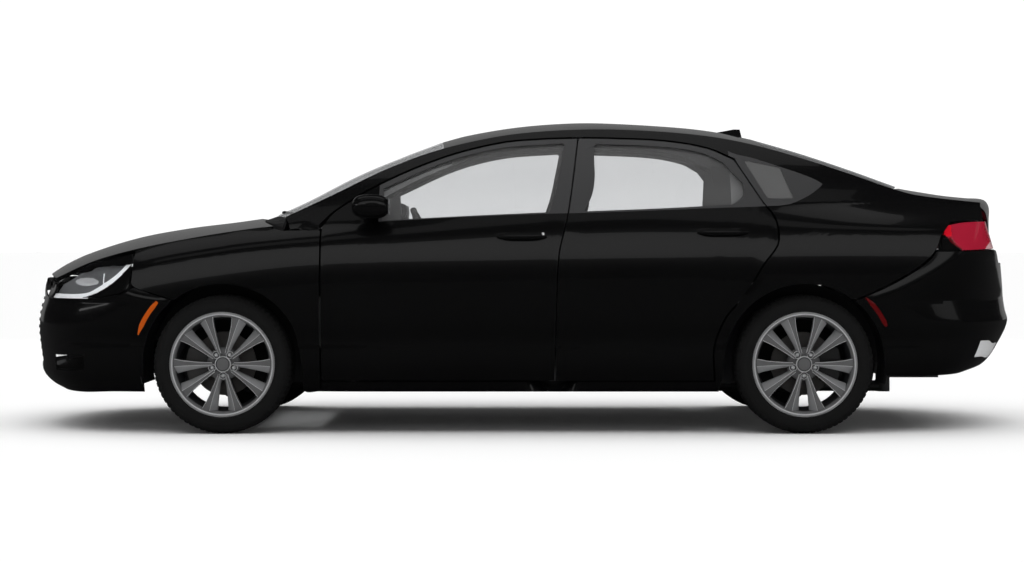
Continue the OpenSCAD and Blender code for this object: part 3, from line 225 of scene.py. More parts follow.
def ring_columns(n):
    post_a = along([[-1016, SILL_H], [-1016, 600], [-1046, 800], [-1134, 1024]], RING_ROWS + 2)
    post_a[RING_ROWS, 1] = 960
    post_b = np.vstack([[[POST_X, SILL_H]], between([POST_X, OPENING_LOW], [POST_X, 960], RING_ROWS - 1),
                        [[POST_X, 986]], [rail(-1010)]])

    def pillar(side):
        x0, top = SPLIT_EDGE[0][0] + side, SPLIT_EDGE[3] + [side, 0]
        run = SPLIT_EDGE + [side, 0]
        run[0, 1] = OPENING_LOW
        run[3, 1] += 2
        edge = along(run, (RING_ROWS - 1) * n)
        head = [top[0], SPLIT_EDGE[3][1] + RAIL_CLEAR]
        return joined(between([x0, SILL_H], edge[0], n), edge, between(edge[-1], head, n),
                      between(head, rail(top[0]), n))

    pillar_a, pillar_b = pillar(-26), pillar(24)
    edge = beside(along(REAR_EDGE, RING_ROWS * n), QUARTER_GAP)
    edge[0] = REAR_EDGE[0] + [QUARTER_GAP, -GAP]
    edge[-1] = REAR_EDGE[-1] + [QUARTER_GAP, RAIL_CLEAR]
    quarter_front = joined(between([REAR_AXLE - ARCH_R - 22, SILL_H], edge[0], n), edge,
                           between(edge[-1], rail(QUARTER_START), n))
    path = np.vstack([[quarter_front[0], [REAR_AXLE - ARCH_R - 6, 268]],
                      [arch_point(REAR_AXLE, ARCH_R, a) for a in range(172, 59, -14)], TAIL_JOINT])
    share = (np.arange(QUARTER_COLS * n + 1) / (QUARTER_COLS * n)) ** QUARTER_EASE
    if n == 1:
        share = np.round(SHARE_STEPS * share) / SHARE_STEPS
    quarter_low = along_at(path, share)
    quarter_high = rail(np.linspace(QUARTER_START, QUARTER_END, QUARTER_COLS * n + 1))
    quarter_back = between(quarter_low[-1], quarter_high[-1], (RING_ROWS + 2) * n)
    quarter = coons(quarter_low, quarter_high, quarter_front, quarter_back)
    lift = np.array([-4, RAIL_CLEAR])
    post_b, post_a = refine(post_b, n), refine(post_a, n)
    head_row = (RING_ROWS + 1) * n
    head_a = along(np.vstack([[post_b[head_row]], FRONT_TOP[1:-1] + lift, [pillar_a[head_row]]]), FRONT_SPAN * n)
    head_b = along(np.vstack([[pillar_b[head_row]], REAR_TOP[1:-1] + [2, RAIL_CLEAR],
                              [quarter_front[head_row]]]), REAR_SPAN * n)

    def hole(a, b, head, t):
        x = a[n][0] + (b[n][0] - a[n][0]) * t
        r = a[-1][0] + (b[-1][0] - a[-1][0]) * t
        return joined(between([x, SILL_H], [x, OPENING_LOW], n), between([x, OPENING_LOW], head, RING_ROWS * n),
                      between(head, rail(r), n))

    cols = list(spread(np.stack([post_a[::n], post_b[::n]]), n)) if n > 1 else [post_a, post_b]
    cols += [hole(post_b, pillar_a, head_a[i], i / (FRONT_SPAN * n)) for i in range(1, FRONT_SPAN * n)]
    cols += list(np.stack([pillar_a * (1 - t) + pillar_b * t for t in np.linspace(0, 1, n + 1)]))
    cols += [hole(pillar_b, quarter_front, head_b[i], i / (REAR_SPAN * n)) for i in range(1, REAR_SPAN * n)]
    return np.concatenate([np.stack(cols), quarter])


TAIL_A = 54
TAIL_JOINT = [arch_point(REAR_AXLE, ARCH_R, TAIL_A), [1660, 680], [1800, 752], [1905, 824], [1950, 880],
              [1990, 985], [2195, 1010]]
ring_coarse = ring_columns(1)
ring_grid = ring_columns(FINE)


def ring_fields():
    cols, rows = ring_coarse.shape[:2]
    deep, inner, shift = np.zeros((cols, rows)), np.zeros((cols, rows)), np.zeros((cols, rows, 2))
    for i in range(cols):
        for j in range(rows):
            p = ring_coarse[i, j]
            d = float(door_depth(p))
            share = float(frame_share(p))
            bevel = DOOR_BEVEL + (FRAME_BEVEL - DOOR_BEVEL) * share
            pillar, mid = i in PILLAR_COLS, 0 < j <= RING_ROWS
            if i <= 1 and j < RING_ROWS + 1 and p[1] < curve(BELT_Z, p[0]) - 8:
                deep[i, j] = SKIN_T + 6
            if pillar and mid:
                deep[i, j] = 0.86 * DOOR_T + (FRAME_T + 8 - 0.86 * DOOR_T) * share
            if j == RING_ROWS + 2:
                inner[i, j], shift[i, j] = 1, (0, -ROOF_T)
                continue
            inner[i, j] = (d + RING_T if (pillar or i <= 1) and mid
                           else DOOR_T + RING_T / 2 if j == 1 and 1 < i < QUARTER_COL
                           else DOOR_T + RING_T / 2 - SILL_TUCK if j == 0 and i <= QUARTER_COL
                           else FRAME_T + RING_T / 2 if j >= RING_ROWS + 1 and i <= QUARTER_COL
                           else d + 8 if i == QUARTER_COL else SKIN_T)
            if j == 1 and 0 < i <= QUARTER_COL:
                shift[i, j] = (-DOOR_BEVEL if i == QUARTER_COL else 0, 0 if i <= 2 else DOOR_BEVEL)
            elif i == QUARTER_COL and 1 < j <= RING_ROWS:
                shift[i, j] = (-bevel, 0)
            elif mid and i in (1, *PILLAR_COLS):
                shift[i, j] = (-10 if i == PILLAR_COLS[0] else 10, 0)
    return spread(deep), spread(inner), spread(shift)


def ring_skins():
    deep, inner, shift = ring_fields()
    outer = on_side(ring_grid, deep)
    y = side_y(ring_grid[..., 0], ring_grid[..., 1]) - inner
    q = ring_grid + shift
    return outer, np.stack([q[..., 0], y, q[..., 1]], -1)


def cells(i0, i1, j0, j1):
    return (i0 * FINE, i1 * FINE, j0 * FINE, j1 * FINE)


def window_part(grid, cut):
    i0, i1, j0, j1 = cut
    return grid[i0:i1 + 1, j0:j1 + 1]


HOLE_COLS = ((1, PILLAR_COLS[0]), (PILLAR_COLS[1], QUARTER_COL))
DOOR_HOLES = [cells(a, b, 1, RING_ROWS + 1) for a, b in HOLE_COLS]
QUARTER_CELLS = cells(QUARTER_COL + 1, QUARTER_COL + 5, 10, RING_ROWS + 1)


# Panels that span the car
def cap_grid(centre, edge, n):
    u = np.linspace(1, -1, 2 * n + 1)[:, None]
    c, e = np.asarray(centre)[None], np.asarray(edge)[None]
    k = u * u
    return np.stack([c[..., 0] + (e[..., 0] - c[..., 0]) * k, e[..., 1] * u + 0 * c[..., 0],
                     c[..., 2] + (e[..., 2] - c[..., 2]) * k], -1)


def mid_line(points, n):
    return along([[p[0], 0, p[1]] for p in points], n)


def sunk(g, t):
    a = np.gradient(g, axis=0)
    b = np.gradient(g, axis=1)
    m = np.cross(a, b)
    return g - t * m / np.maximum(np.linalg.norm(m, axis=-1), 1e-9)[..., None]


def rail_edge(a, b):
    return on_side(ring_grid[a * FINE:b * FINE + 1, -1], BOND)


def eased(run, first=0.0, last=0.0):
    r = run.copy()
    r[0] += first * (r[1] - r[0]) / np.linalg.norm(r[1] - r[0])
    r[-1] += last * (r[-2] - r[-1]) / np.linalg.norm(r[-2] - r[-1])
    return r


SEAM, CAP_N = 3, 24
screen_grid = cap_grid(mid_line([[-1240, 1040], [-1084, 1111], [-838, 1239], [-592, 1342], [-412, 1411]], 5 * FINE),
                       eased(rail_edge(0, 5), last=SEAM), CAP_N)
roof_grid = cap_grid(mid_line([[-409, 1412], [-285, 1446], [-39, 1488], [207, 1508], [392, 1509], [761, 1488],
                               [945, 1467], [1130, 1429]], 14 * FINE), rail_edge(5, 19), CAP_N)
back_grid = cap_grid(mid_line([[1133, 1428], [1376, 1357], [1622, 1275], [1868, 1186]], 14 * FINE),
                     eased(rail_edge(19, 33), first=SEAM), CAP_N)
hood_edge = along([[-2268, 585, 730]] + [[x, float(curve(BELT_Y, x)) - GAP, float(curve(BELT_Z, x))]
                                         for x in (-2080, -1868, -1600, -1380, -1192)], 9 * FINE)
hood_grid = cap_grid(mid_line([[-2382, 752], [-2315, 795], [-2192, 852], [-1945, 929], [-1700, 975], [-1453, 1006],
                               [-1326, 1024]], 9 * FINE), hood_edge, CAP_N)
lid_x = np.linspace(1800, 2160, 6 * FINE + 1)
lid_edge = np.stack([lid_x, side_y(lid_x, curve(RAIL_Z, lid_x)) - GAP - 4, curve(RAIL_Z, lid_x)], 1)
lid_drop = along([lid_edge[-1], [2238, 545, 1060], [2262, 525, 1000], [2266, 522, 880], [2286, 520, 812]], 6 * FINE)
lid_grid = cap_grid(mid_line([[1886, 1176], [1991, 1160], [2114, 1141], [2237, 1129], [2330, 1122], [2352, 1085],
                              [2340, 1000], [2352, 880], [2372, 812]], 12 * FINE), joined(lid_edge, lid_drop), CAP_N)

# Front fenders
JOINT_A, FENDER_COLS, FENDER_ROWS = 52, 18, 9
JOINT_Z = TYRE_R + ARCH_R * math.sin(math.radians(JOINT_A))
JOINT_TOP = JOINT_Z + 66
JOINT_X0 = FRONT_AXLE - ARCH_R * math.cos(math.radians(JOINT_A))
FENDER_BACK = FRONT_EDGE[0][0] - GAP - 1
fender_low = along([arch_point(FRONT_AXLE, ARCH_R, a) for a in range(179 - JOINT_A, 8, -14)]
                   + [[FRONT_AXLE + ARCH_R - 1, TYRE_R - 40], [FRONT_AXLE + ARCH_R + 4, SILL_H + 2],
                      [FENDER_BACK, SILL_H + 2]], FENDER_COLS * FINE)
fender_x = np.linspace(-1850, FENDER_BACK, FENDER_COLS * FINE + 1)
fender_high = np.stack([fender_x, curve(BELT_Z, fender_x) - 28 * np.clip((fender_x + 1230) / 90, 0, 1)], 1)
fender_front = along([fender_low[0], [(fender_low[0][0] - 1852) / 2, JOINT_Z + 36], [-1850, JOINT_TOP + 6],
                      [-1852, JOINT_TOP + 60], fender_high[0]], FENDER_ROWS * FINE)
fender_back = between(fender_low[-1], fender_high[-1], FENDER_ROWS * FINE)
fender_grid = coons(fender_low, fender_high, fender_front, fender_back)


def fender_skins():
    inner = on_side(fender_grid, SKIN_T)
    ramp_j = np.clip(np.arange(FENDER_ROWS * FINE + 1) / FINE - (FENDER_ROWS - 1), 0, 1)[None, :]
    ramp_i = np.clip(np.arange(FENDER_COLS * FINE + 1) / FINE - (FENDER_COLS - 1), 0, 1)[:, None]
    inner[..., 1] += (SKIN_T - 1) * ramp_j
    inner[..., 2] -= SKIN_T * ramp_j
    inner[..., 0] -= SKIN_T * ramp_i
    return on_side(fender_grid), inner


# Bumpers: a rounded plan swept through the profile of the nose or the tail
NOSE_POWER, TAIL_POWER, BUMPER_T = 2.3, 2.2, 6
NOSE_X = [[178, -2302], [215, -2372], [267, -2418], [330, -2424], [466, -2442.5], [560, -2438], [656, -2412],
          [740, -2390], [860, -2370]]
TAIL_X = [[262, 2200], [302, 2310], [404, 2392], [511, 2442.5], [571, 2430], [700, 2412], [860, 2385], [1000, 2360]]
TAIL_JOINT_Z = TYRE_R + ARCH_R * math.sin(math.radians(TAIL_A))


def joint_x(z):
    z = np.asarray(z, float)
    arc = FRONT_AXLE - np.sqrt(np.maximum(0, ARCH_R ** 2 - (z - TYRE_R) ** 2))
    t = np.clip((z - JOINT_Z) / (JOINT_TOP - JOINT_Z), 0, 1)
    return np.where(z < TYRE_R, FRONT_AXLE - ARCH_R, np.where(z < JOINT_Z, arc, JOINT_X0 + (-1856 - JOINT_X0) * t))


def tail_end_x(z):
    z = np.asarray(z, float)
    arc = REAR_AXLE + np.sqrt(np.maximum(0, ARCH_R ** 2 - (z - TYRE_R) ** 2))
    seam = curve([[p[1] - 8, p[0] + 8] for p in TAIL_JOINT if p[1] < 900], z)
    return np.where(z < TYRE_R, REAR_AXLE + ARCH_R, np.where(z < TAIL_JOINT_Z - 4, arc, seam))


def bow(q, z, x_mid, x_end, power):
    c = np.abs(np.cos(np.pi / 2 * q)) ** (2 / power)
    s = np.abs(np.sin(np.pi / 2 * q)) ** (2 / power) * np.sign(q)
    return np.stack([x_end - (x_end - x_mid) * c, side_y(x_end, z) * s, z + 0 * q], -1)


def nose_point(q, z):
    return bow(q, z, curve(NOSE_X, z), joint_x(z), NOSE_POWER)


def tail_point(q, z):
    return bow(q, z, curve(TAIL_X, z), tail_end_x(z), TAIL_POWER)


NOSE_COLS, TAIL_COLS = 18, 16
NOSE_ROWS = [0, 0.1, 0.24, 0.4, 0.56, 0.72, 0.88, 1]
TAIL_ROWS = [0, 0.08, 0.2, 0.34, 0.46, 0.6, 0.8, 1]
NOSE_TOP = [[0, 728], [0.18, 728], [0.25, 720], [0.33, 644], [0.5, 634], [0.75, 638], [0.88, 656], [1, JOINT_Z + 62]]
NOSE_LOW = [[0, 180], [0.6, 182], [0.85, 192], [1, 192]]
TAIL_TOP = [[0, 802], [0.3, 802], [0.38, 806], [0.44, 862], [0.7, 862], [1, 858]]
TAIL_LOW = [[0, 266], [0.6, 266], [1, 272]]


def swept(point, cols, rows, low, top, sign):
    q = np.linspace(sign, -sign, 2 * cols * FINE + 1)[:, None]
    f = np.interp(np.linspace(0, len(rows) - 1, (len(rows) - 1) * FINE + 1), np.arange(len(rows)), rows)[None, :]
    a, b = curve(low, np.abs(q)), curve(top, np.abs(q))
    return point(q, a + (b - a) * f)


nose_grid = swept(nose_point, NOSE_COLS, NOSE_ROWS, NOSE_LOW, NOSE_TOP, 1)
tail_grid = swept(tail_point, TAIL_COLS, TAIL_ROWS, TAIL_LOW, TAIL_TOP, -1)
GRILLE_CELLS = cells(NOSE_COLS - 5, NOSE_COLS + 5, 2, 6)
FOG_CELLS = [cells(NOSE_COLS + 9, NOSE_COLS + 13, 2, 3), cells(NOSE_COLS - 13, NOSE_COLS - 9, 2, 3)]

# Lamp lenses between the bumpers and the body side
LAMP_GAP = 5


def headlamp_patch(cols=9 * FINE, rows=4 * FINE):
    q = np.array([0.345, 0.45, 0.6, 0.75, 0.9, 0.98])
    low = along(nose_point(q, curve(NOSE_TOP, q) + LAMP_GAP), cols)
    xs = np.array([-2080.0, -1960, -1862])
    crest = on_side(np.stack([xs, curve(BELT_Z, xs) - 20], 1))
    high = along(np.vstack([[[-2312, 440, 711], [-2256, 598, 700]], crest]), cols)
    rear = along([low[-1], on_side([-1864.0, 720.0]), high[-1]], rows)
    return coons(low, high, between(low[0], high[0], rows), rear)


def taillamp_patch(cols=8 * FINE, rows=3 * FINE):
    q = np.array([0.5, 0.62, 0.75, 0.9, 0.98])
    foot = tail_point(q, curve(TAIL_TOP, q) + LAMP_GAP)
    crest = on_side(np.array([[2195.0, 1001], [2090, 996], [1998, 980]]))
    low = along(np.vstack([[[2256, 528, 870]], foot]), cols)
    high = along(np.vstack([[[2246, 545, 1001]], crest]), cols)
    return coons(low, high, between(low[0], high[0], rows), between(low[-1], high[-1], rows))


# Finishes
def new_group(name, inputs, outputs):
    g = bpy.data.node_groups.new(name, "ShaderNodeTree")
    for label, kind, value in inputs:
        s = g.interface.new_socket(name=label, in_out="INPUT", socket_type=kind)
        s.default_value = value
    for label, kind in outputs:
        g.interface.new_socket(name=label, in_out="OUTPUT", socket_type=kind)
    return g, g.nodes.new("NodeGroupInput"), g.nodes.new("NodeGroupOutput")


def grain_group():
    g, gi, go = new_group("fine_grain", [("Scale", "NodeSocketFloat", 200.0), ("Broad Scale", "NodeSocketFloat", 3.0),
                                         ("First Color", "NodeSocketColor", (0.5, 0.5, 0.5, 1)),
                                         ("Second Color", "NodeSocketColor", (0.5, 0.5, 0.5, 1)),
                                         ("Smooth", "NodeSocketFloat", 0.3), ("Rough", "NodeSocketFloat", 0.5)],
                          [("Color", "NodeSocketColor"), ("Roughness", "NodeSocketFloat"),
                           ("Height", "NodeSocketFloat")])
    place = g.nodes.new("ShaderNodeTexCoord")
    fine, broad = g.nodes.new("ShaderNodeTexNoise"), g.nodes.new("ShaderNodeTexNoise")
    both, blend, rough = g.nodes.new("ShaderNodeMath"), g.nodes.new("ShaderNodeMix"), g.nodes.new("ShaderNodeMapRange")
    both.operation = "MULTIPLY_ADD"
    both.inputs[1].default_value = 0.5
    blend.data_type = "RGBA"
    fine.inputs["Detail"].default_value = 4.0
    broad.inputs["Detail"].default_value = 3.0
    half = g.nodes.new("ShaderNodeMath")
    half.operation = "MULTIPLY"
    half.inputs[1].default_value = 0.5
    link = g.links.new
    for n, socket in ((fine, "Scale"), (broad, "Broad Scale")):
        link(place.outputs["Object"], n.inputs["Vector"])
        link(gi.outputs[socket], n.inputs["Scale"])
    link(broad.outputs["Fac"], half.inputs[0])
    link(fine.outputs["Fac"], both.inputs[0])
    link(half.outputs[0], both.inputs[2])
    link(both.outputs[0], blend.inputs["Factor"])
    link(gi.outputs["First Color"], blend.inputs["A"])
    link(gi.outputs["Second Color"], blend.inputs["B"])
    link(both.outputs[0], rough.inputs["Value"])
    link(gi.outputs["Smooth"], rough.inputs["To Min"])
    link(gi.outputs["Rough"], rough.inputs["To Max"])
    link(blend.outputs["Result"], go.inputs["Color"])
    link(rough.outputs["Result"], go.inputs["Roughness"])
    link(fine.outputs["Fac"], go.inputs["Height"])
    return g


GRAIN = grain_group()


def new_material(name):
    m = bpy.data.materials.new(name)
    m.use_nodes = True
    return m, m.node_tree


def grain_node(t, scale, broad, first, second, smooth, rough):
    k = t.nodes.new("ShaderNodeGroup")
    k.node_tree = GRAIN
    for socket, value in (("Scale", scale), ("Broad Scale", broad), ("First Color", (*first, 1)),
                          ("Second Color", (*second, 1)), ("Smooth", smooth), ("Rough", rough)):
        k.inputs[socket].default_value = value
    return k


def finish(name, first, second, smooth, rough, scale=300.0, broad=2.0, bump=0.0, depth=0.0005, **plain):
    m, t = new_material(name)
    b = t.nodes["Principled BSDF"]
    k = grain_node(t, scale, broad, first, second, smooth, rough)
    t.links.new(k.outputs["Color"], b.inputs["Base Color"])
    t.links.new(k.outputs["Roughness"], b.inputs["Roughness"])
    if bump:
        n = t.nodes.new("ShaderNodeBump")
        n.inputs["Strength"].default_value = bump
        n.inputs["Distance"].default_value = depth
        t.links.new(k.outputs["Height"], n.inputs["Height"])
        t.links.new(n.outputs["Normal"], b.inputs["Normal"])
    for socket, value in plain.items():
        b.inputs[socket.replace("_", " ")].default_value = value
    return m


PAINT_SHADES = ((0.0007, 0.0007, 0.0008), (0.0013, 0.0013, 0.0015))
PAINT_GLOSS = dict(smooth=0.16, rough=0.24, scale=2400, Coat_Roughness=0.015)
PAINT = finish("gloss_black_paint", *PAINT_SHADES, Coat_Weight=1.0, Specular_IOR_Level=0.5, **PAINT_GLOSS)


# Window glass; the pale diffuse film mixed in is painted sheen, standing in for the grey reflection of the windows
def window_glass(name, clear, grey, painted_sheen=0.0):
    m, t = new_material(name)
    t.nodes.remove(t.nodes["Principled BSDF"])
    k = grain_node(t, 6.0, 1.0, clear, grey, 0.0, 0.03)
    through, shine = t.nodes.new("ShaderNodeBsdfTransparent"), t.nodes.new("ShaderNodeBsdfGlossy")
    facing, sheen = t.nodes.new("ShaderNodeLayerWeight"), t.nodes.new("ShaderNodeMath")
    mix = t.nodes.new("ShaderNodeMixShader")
    facing.inputs["Blend"].default_value = 0.06
    sheen.inputs[1].default_value = 0.025
    t.links.new(k.outputs["Color"], through.inputs["Color"])
    t.links.new(k.outputs["Roughness"], shine.inputs["Roughness"])
    t.links.new(facing.outputs["Facing"], sheen.inputs[0])
    t.links.new(sheen.outputs["Value"], mix.inputs["Fac"])
    t.links.new(through.outputs["BSDF"], mix.inputs[1])
    t.links.new(shine.outputs["BSDF"], mix.inputs[2])
    sheen_film, with_sheen_film = t.nodes.new("ShaderNodeBsdfDiffuse"), t.nodes.new("ShaderNodeMixShader")
    sheen_film.inputs["Color"].default_value = (0.8, 0.8, 0.8, 1)
    with_sheen_film.inputs["Fac"].default_value = painted_sheen
    t.links.new(mix.outputs["Shader"], with_sheen_film.inputs[1])
    t.links.new(sheen_film.outputs["BSDF"], with_sheen_film.inputs[2])
    t.links.new(with_sheen_film.outputs["Shader"], t.nodes["Material Output"].inputs["Surface"])
    return m


# The film amount given to each pane is painted sheen
GLASS = window_glass("tinted_glass", (0.91, 0.915, 0.92), (0.93, 0.932, 0.935), 0.045)
DARK_GLASS = window_glass("dark_rear_glass", (0.5, 0.51, 0.52), (0.54, 0.545, 0.55), 0.07)
QUARTER_GLASS = window_glass("shaded_quarter_glass", (0.3, 0.305, 0.31), (0.34, 0.345, 0.35), 0.13)
CLEAR = window_glass("clear_lens", (0.97, 0.975, 0.98), (0.985, 0.985, 0.99))
LENS_COAT = dict(Coat_Weight=1.0, Coat_Roughness=0.03)
DEEP_RED = finish("deep_red_lens", (0.07, 0.002, 0.003), (0.1, 0.003, 0.004), 0.04, 0.1, **LENS_COAT)
ROSE = finish("rose_lens", (0.42, 0.012, 0.035), (0.5, 0.02, 0.05), 0.05, 0.12, **LENS_COAT)
VIVID = finish("vivid_red_lens", (0.75, 0.006, 0.02), (0.85, 0.012, 0.03), 0.05, 0.12, **LENS_COAT)
PALE = finish("pale_lens_corner", (0.75, 0.4, 0.42), (0.85, 0.55, 0.56), 0.05, 0.14, **LENS_COAT)
AMBER = finish("amber_lens", (0.55, 0.085, 0.005), (0.62, 0.11, 0.008), 0.05, 0.12, Coat_Weight=1.0)
SATIN = finish("satin_window_trim", (0.05, 0.05, 0.053), (0.065, 0.065, 0.068), 0.34, 0.44, scale=900, bump=0.03,
               depth=0.0002)
PIANO = finish("gloss_black_trim", (0.002, 0.002, 0.0022), (0.004, 0.004, 0.0044), 0.08, 0.14, Coat_Weight=1.0)
PLASTIC = finish("grained_plastic", (0.016, 0.016, 0.017), (0.026, 0.026, 0.027), 0.5, 0.62, scale=1500, bump=0.18,
                 depth=0.0003)
RUBBER = finish("tyre_rubber", (0.004, 0.004, 0.0042), (0.008, 0.008, 0.0083), 0.6, 0.72, scale=700, broad=9,
                bump=0.2, depth=0.0004)
SEAL = finish("rubber_seal", (0.01, 0.01, 0.01), (0.016, 0.016, 0.016), 0.5, 0.6, scale=800)
ALLOY = finish("grey_wheel_paint", (0.15, 0.151, 0.154), (0.19, 0.191, 0.194), 0.34, 0.42, scale=2200, Metallic=0.3,
               Coat_Weight=0.3, Coat_Roughness=0.12)
FLANK = finish("bright_spoke_flank", (0.3, 0.303, 0.31), (0.38, 0.383, 0.39), 0.3, 0.38, scale=1800, Metallic=0.35)
BRIGHT = finish("machined_alloy", (0.6, 0.605, 0.615), (0.72, 0.725, 0.735), 0.26, 0.36, scale=1200, Metallic=0.35)
DARK_ALLOY = finish("dark_wheel_barrel", (0.035, 0.036, 0.038), (0.05, 0.05, 0.053), 0.36, 0.46, scale=900,
                    Metallic=0.6)
IRON = finish("cast_iron_disc", (0.2, 0.19, 0.185), (0.3, 0.29, 0.28), 0.34, 0.46, scale=500, Metallic=0.9, bump=0.1)
CAST = finish("cast_knuckle", (0.1, 0.1, 0.1), (0.16, 0.155, 0.15), 0.5, 0.65, scale=420, Metallic=0.7, bump=0.3)
STEEL = finish("brushed_exhaust", (0.4, 0.4, 0.41), (0.55, 0.55, 0.56), 0.25, 0.4, scale=600, Metallic=1.0)
CHROME = finish("bright_chrome", (0.82, 0.83, 0.84), (0.88, 0.88, 0.89), 0.03, 0.07, scale=300, Metallic=1.0)
CABIN = finish("cabin_lining", (0.21, 0.21, 0.21), (0.25, 0.25, 0.248), 0.6, 0.75, scale=120, bump=0.06, depth=0.0004)
HIDE = finish("black_leather", (0.018, 0.017, 0.017), (0.034, 0.032, 0.031), 0.4, 0.55, scale=420, broad=6, bump=0.35,
              depth=0.0008)
CHASSIS = finish("chassis_coat", (0.014, 0.014, 0.015), (0.028, 0.028, 0.029), 0.6, 0.75, scale=160, bump=0.25)
BLOCK = finish("cast_aluminium", (0.3, 0.3, 0.31), (0.42, 0.42, 0.43), 0.42, 0.58, scale=300, Metallic=0.85, bump=0.25)
# Pale diffuse white for chrome parts: a painted glint in place of a mirror reflection
PAINTED_GLINT = finish("painted_glint_white", (0.8, 0.81, 0.82), (0.93, 0.93, 0.935), 0.2, 0.3, scale=120, Metallic=0.2)
BEZEL = finish("lamp_bezel", (0.16, 0.163, 0.168), (0.24, 0.243, 0.25), 0.25, 0.35, scale=400, Metallic=0.1)
GLOW = finish("light_strip", (0.85, 0.87, 0.9), (0.95, 0.96, 0.97), 0.2, 0.3, scale=200, Emission_Color=(1, 1, 1, 1),
              Emission_Strength=0.35)


LINE_LOW, LINE_HIGH = 900, 1500
TRIM_GREY, TRIM_ROUGH = (0.05, 0.05, 0.052, 1), 0.4


def line_mask(t, split, points):
    reach = t.nodes.new("ShaderNodeMapRange")
    reach.inputs["From Min"].default_value = points[0][0] * MM
    reach.inputs["From Max"].default_value = points[-1][0] * MM
    height = t.nodes.new("ShaderNodeFloatCurve")
    span = points[-1][0] - points[0][0]
    c = height.mapping.curves[0]
    spots = [((x - points[0][0]) / span, (z - LINE_LOW) / (LINE_HIGH - LINE_LOW)) for x, z in points]
    c.points[0].location, c.points[-1].location = spots[0], spots[-1]
    for place in spots[1:-1]:
        c.points.new(*place)
    for q in c.points:
        q.handle_type = "AUTO"
    height.mapping.update()
    lift, over = t.nodes.new("ShaderNodeMapRange"), t.nodes.new("ShaderNodeMath")
    lift.inputs["To Min"].default_value, lift.inputs["To Max"].default_value = LINE_LOW * MM, LINE_HIGH * MM
    over.operation = "GREATER_THAN"
    t.links.new(split.outputs["X"], reach.inputs["Value"])
    t.links.new(reach.outputs["Result"], height.inputs["Value"])
    t.links.new(height.outputs["Value"], lift.inputs["Value"])
    t.links.new(split.outputs["Z"], over.inputs[0])
    t.links.new(lift.outputs["Result"], over.inputs[1])
    return over.outputs["Value"]


def trimmed_paint(name, low, high=None, start=-690.0):
    m = finish(name, *PAINT_SHADES, **PAINT_GLOSS)
    t = m.node_tree
    b = t.nodes["Principled BSDF"]
    place, split = t.nodes.new("ShaderNodeTexCoord"), t.nodes.new("ShaderNodeSeparateXYZ")
    t.links.new(place.outputs["Object"], split.inputs[0])
    behind, both = t.nodes.new("ShaderNodeMath"), t.nodes.new("ShaderNodeMath")
    behind.operation, both.operation = "GREATER_THAN", "MULTIPLY"
    behind.inputs[1].default_value = start * MM
    t.links.new(split.outputs["X"], behind.inputs[0])
    t.links.new(line_mask(t, split, low), both.inputs[0])
    t.links.new(behind.outputs["Value"], both.inputs[1])
    mask = both.outputs["Value"]
    if high:
        under = t.nodes.new("ShaderNodeMath")
        under.operation = "SUBTRACT"
        under.use_clamp = True
        t.links.new(mask, under.inputs[0])
        t.links.new(line_mask(t, split, high), under.inputs[1])
        mask = under.outputs["Value"]
    grain = next(n for n in t.nodes if n.type == "GROUP")
    tint, rough, coat = t.nodes.new("ShaderNodeMix"), t.nodes.new("ShaderNodeMix"), t.nodes.new("ShaderNodeMath")
    tint.data_type = "RGBA"
    coat.operation = "SUBTRACT"
    coat.inputs[0].default_value = 1.0
    tint.inputs["B"].default_value = TRIM_GREY
    rough.inputs["B"].default_value = TRIM_ROUGH
    for socket in (tint.inputs["Factor"], rough.inputs["Factor"], coat.inputs[1]):
        t.links.new(mask, socket)
    t.links.new(grain.outputs["Color"], tint.inputs["A"])
    t.links.new(grain.outputs["Roughness"], rough.inputs["A"])
    t.links.new(tint.outputs["Result"], b.inputs["Base Color"])
    t.links.new(rough.outputs["Result"], b.inputs["Roughness"])
    t.links.new(coat.outputs["Value"], b.inputs["Coat Weight"])
    return m


BELT_LINE = [[-1200, 975], [-957, 982], [-606, 1005], [80, 1036], [320, 1042], [900, 1064], [1160, 1074], [1240, 1080],
             [1320, 1108], [1400, 1156], [1440, 1200]]
SURROUND_LINE = [[900, 1416], [980, 1342], [1100, 1306], [1220, 1266], [1330, 1228], [1400, 1198], [1440, 1170]]
DOOR_PAINT = trimmed_paint("paint_with_window_trim", BELT_LINE)
QUARTER_PAINT = trimmed_paint("paint_with_quarter_trim", BELT_LINE, SURROUND_LINE, start=980.0)


# Meshes
def shape(name, verts, faces, body, finishes, slot, replaces=(), angle=32, bevel=0.0, part=None):
    mesh = bpy.data.meshes.new(name)
    mesh.from_pydata([tuple(float(c) * MM for c in v) for v in verts], [], [tuple(int(i) for i in f) for f in faces])
    for m in finishes if isinstance(finishes, (list, tuple)) else [finishes]:
        mesh.materials.append(m)
    if part is not None:
        mesh.polygons.foreach_set("material_index", np.asarray(part, np.int32))
    b = bmesh.new()
    b.from_mesh(mesh)
    bmesh.ops.recalc_face_normals(b, faces=b.faces)
    b.to_mesh(mesh)
    b.free()
    mesh.shade_smooth()
    mesh.set_sharp_from_angle(angle=math.radians(angle))
    o = bpy.data.objects.new(name, mesh)
    bpy.context.scene.collection.objects.link(o)
    if bevel:
        v = o.modifiers.new("soft_edges", "BEVEL")
        v.width, v.segments, v.limit_method, v.angle_limit = bevel * MM, 2, "ANGLE", math.radians(38)
        v.harden_normals = False
    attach(o, body)
    if replaces:
        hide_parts(*replaces)
    return o


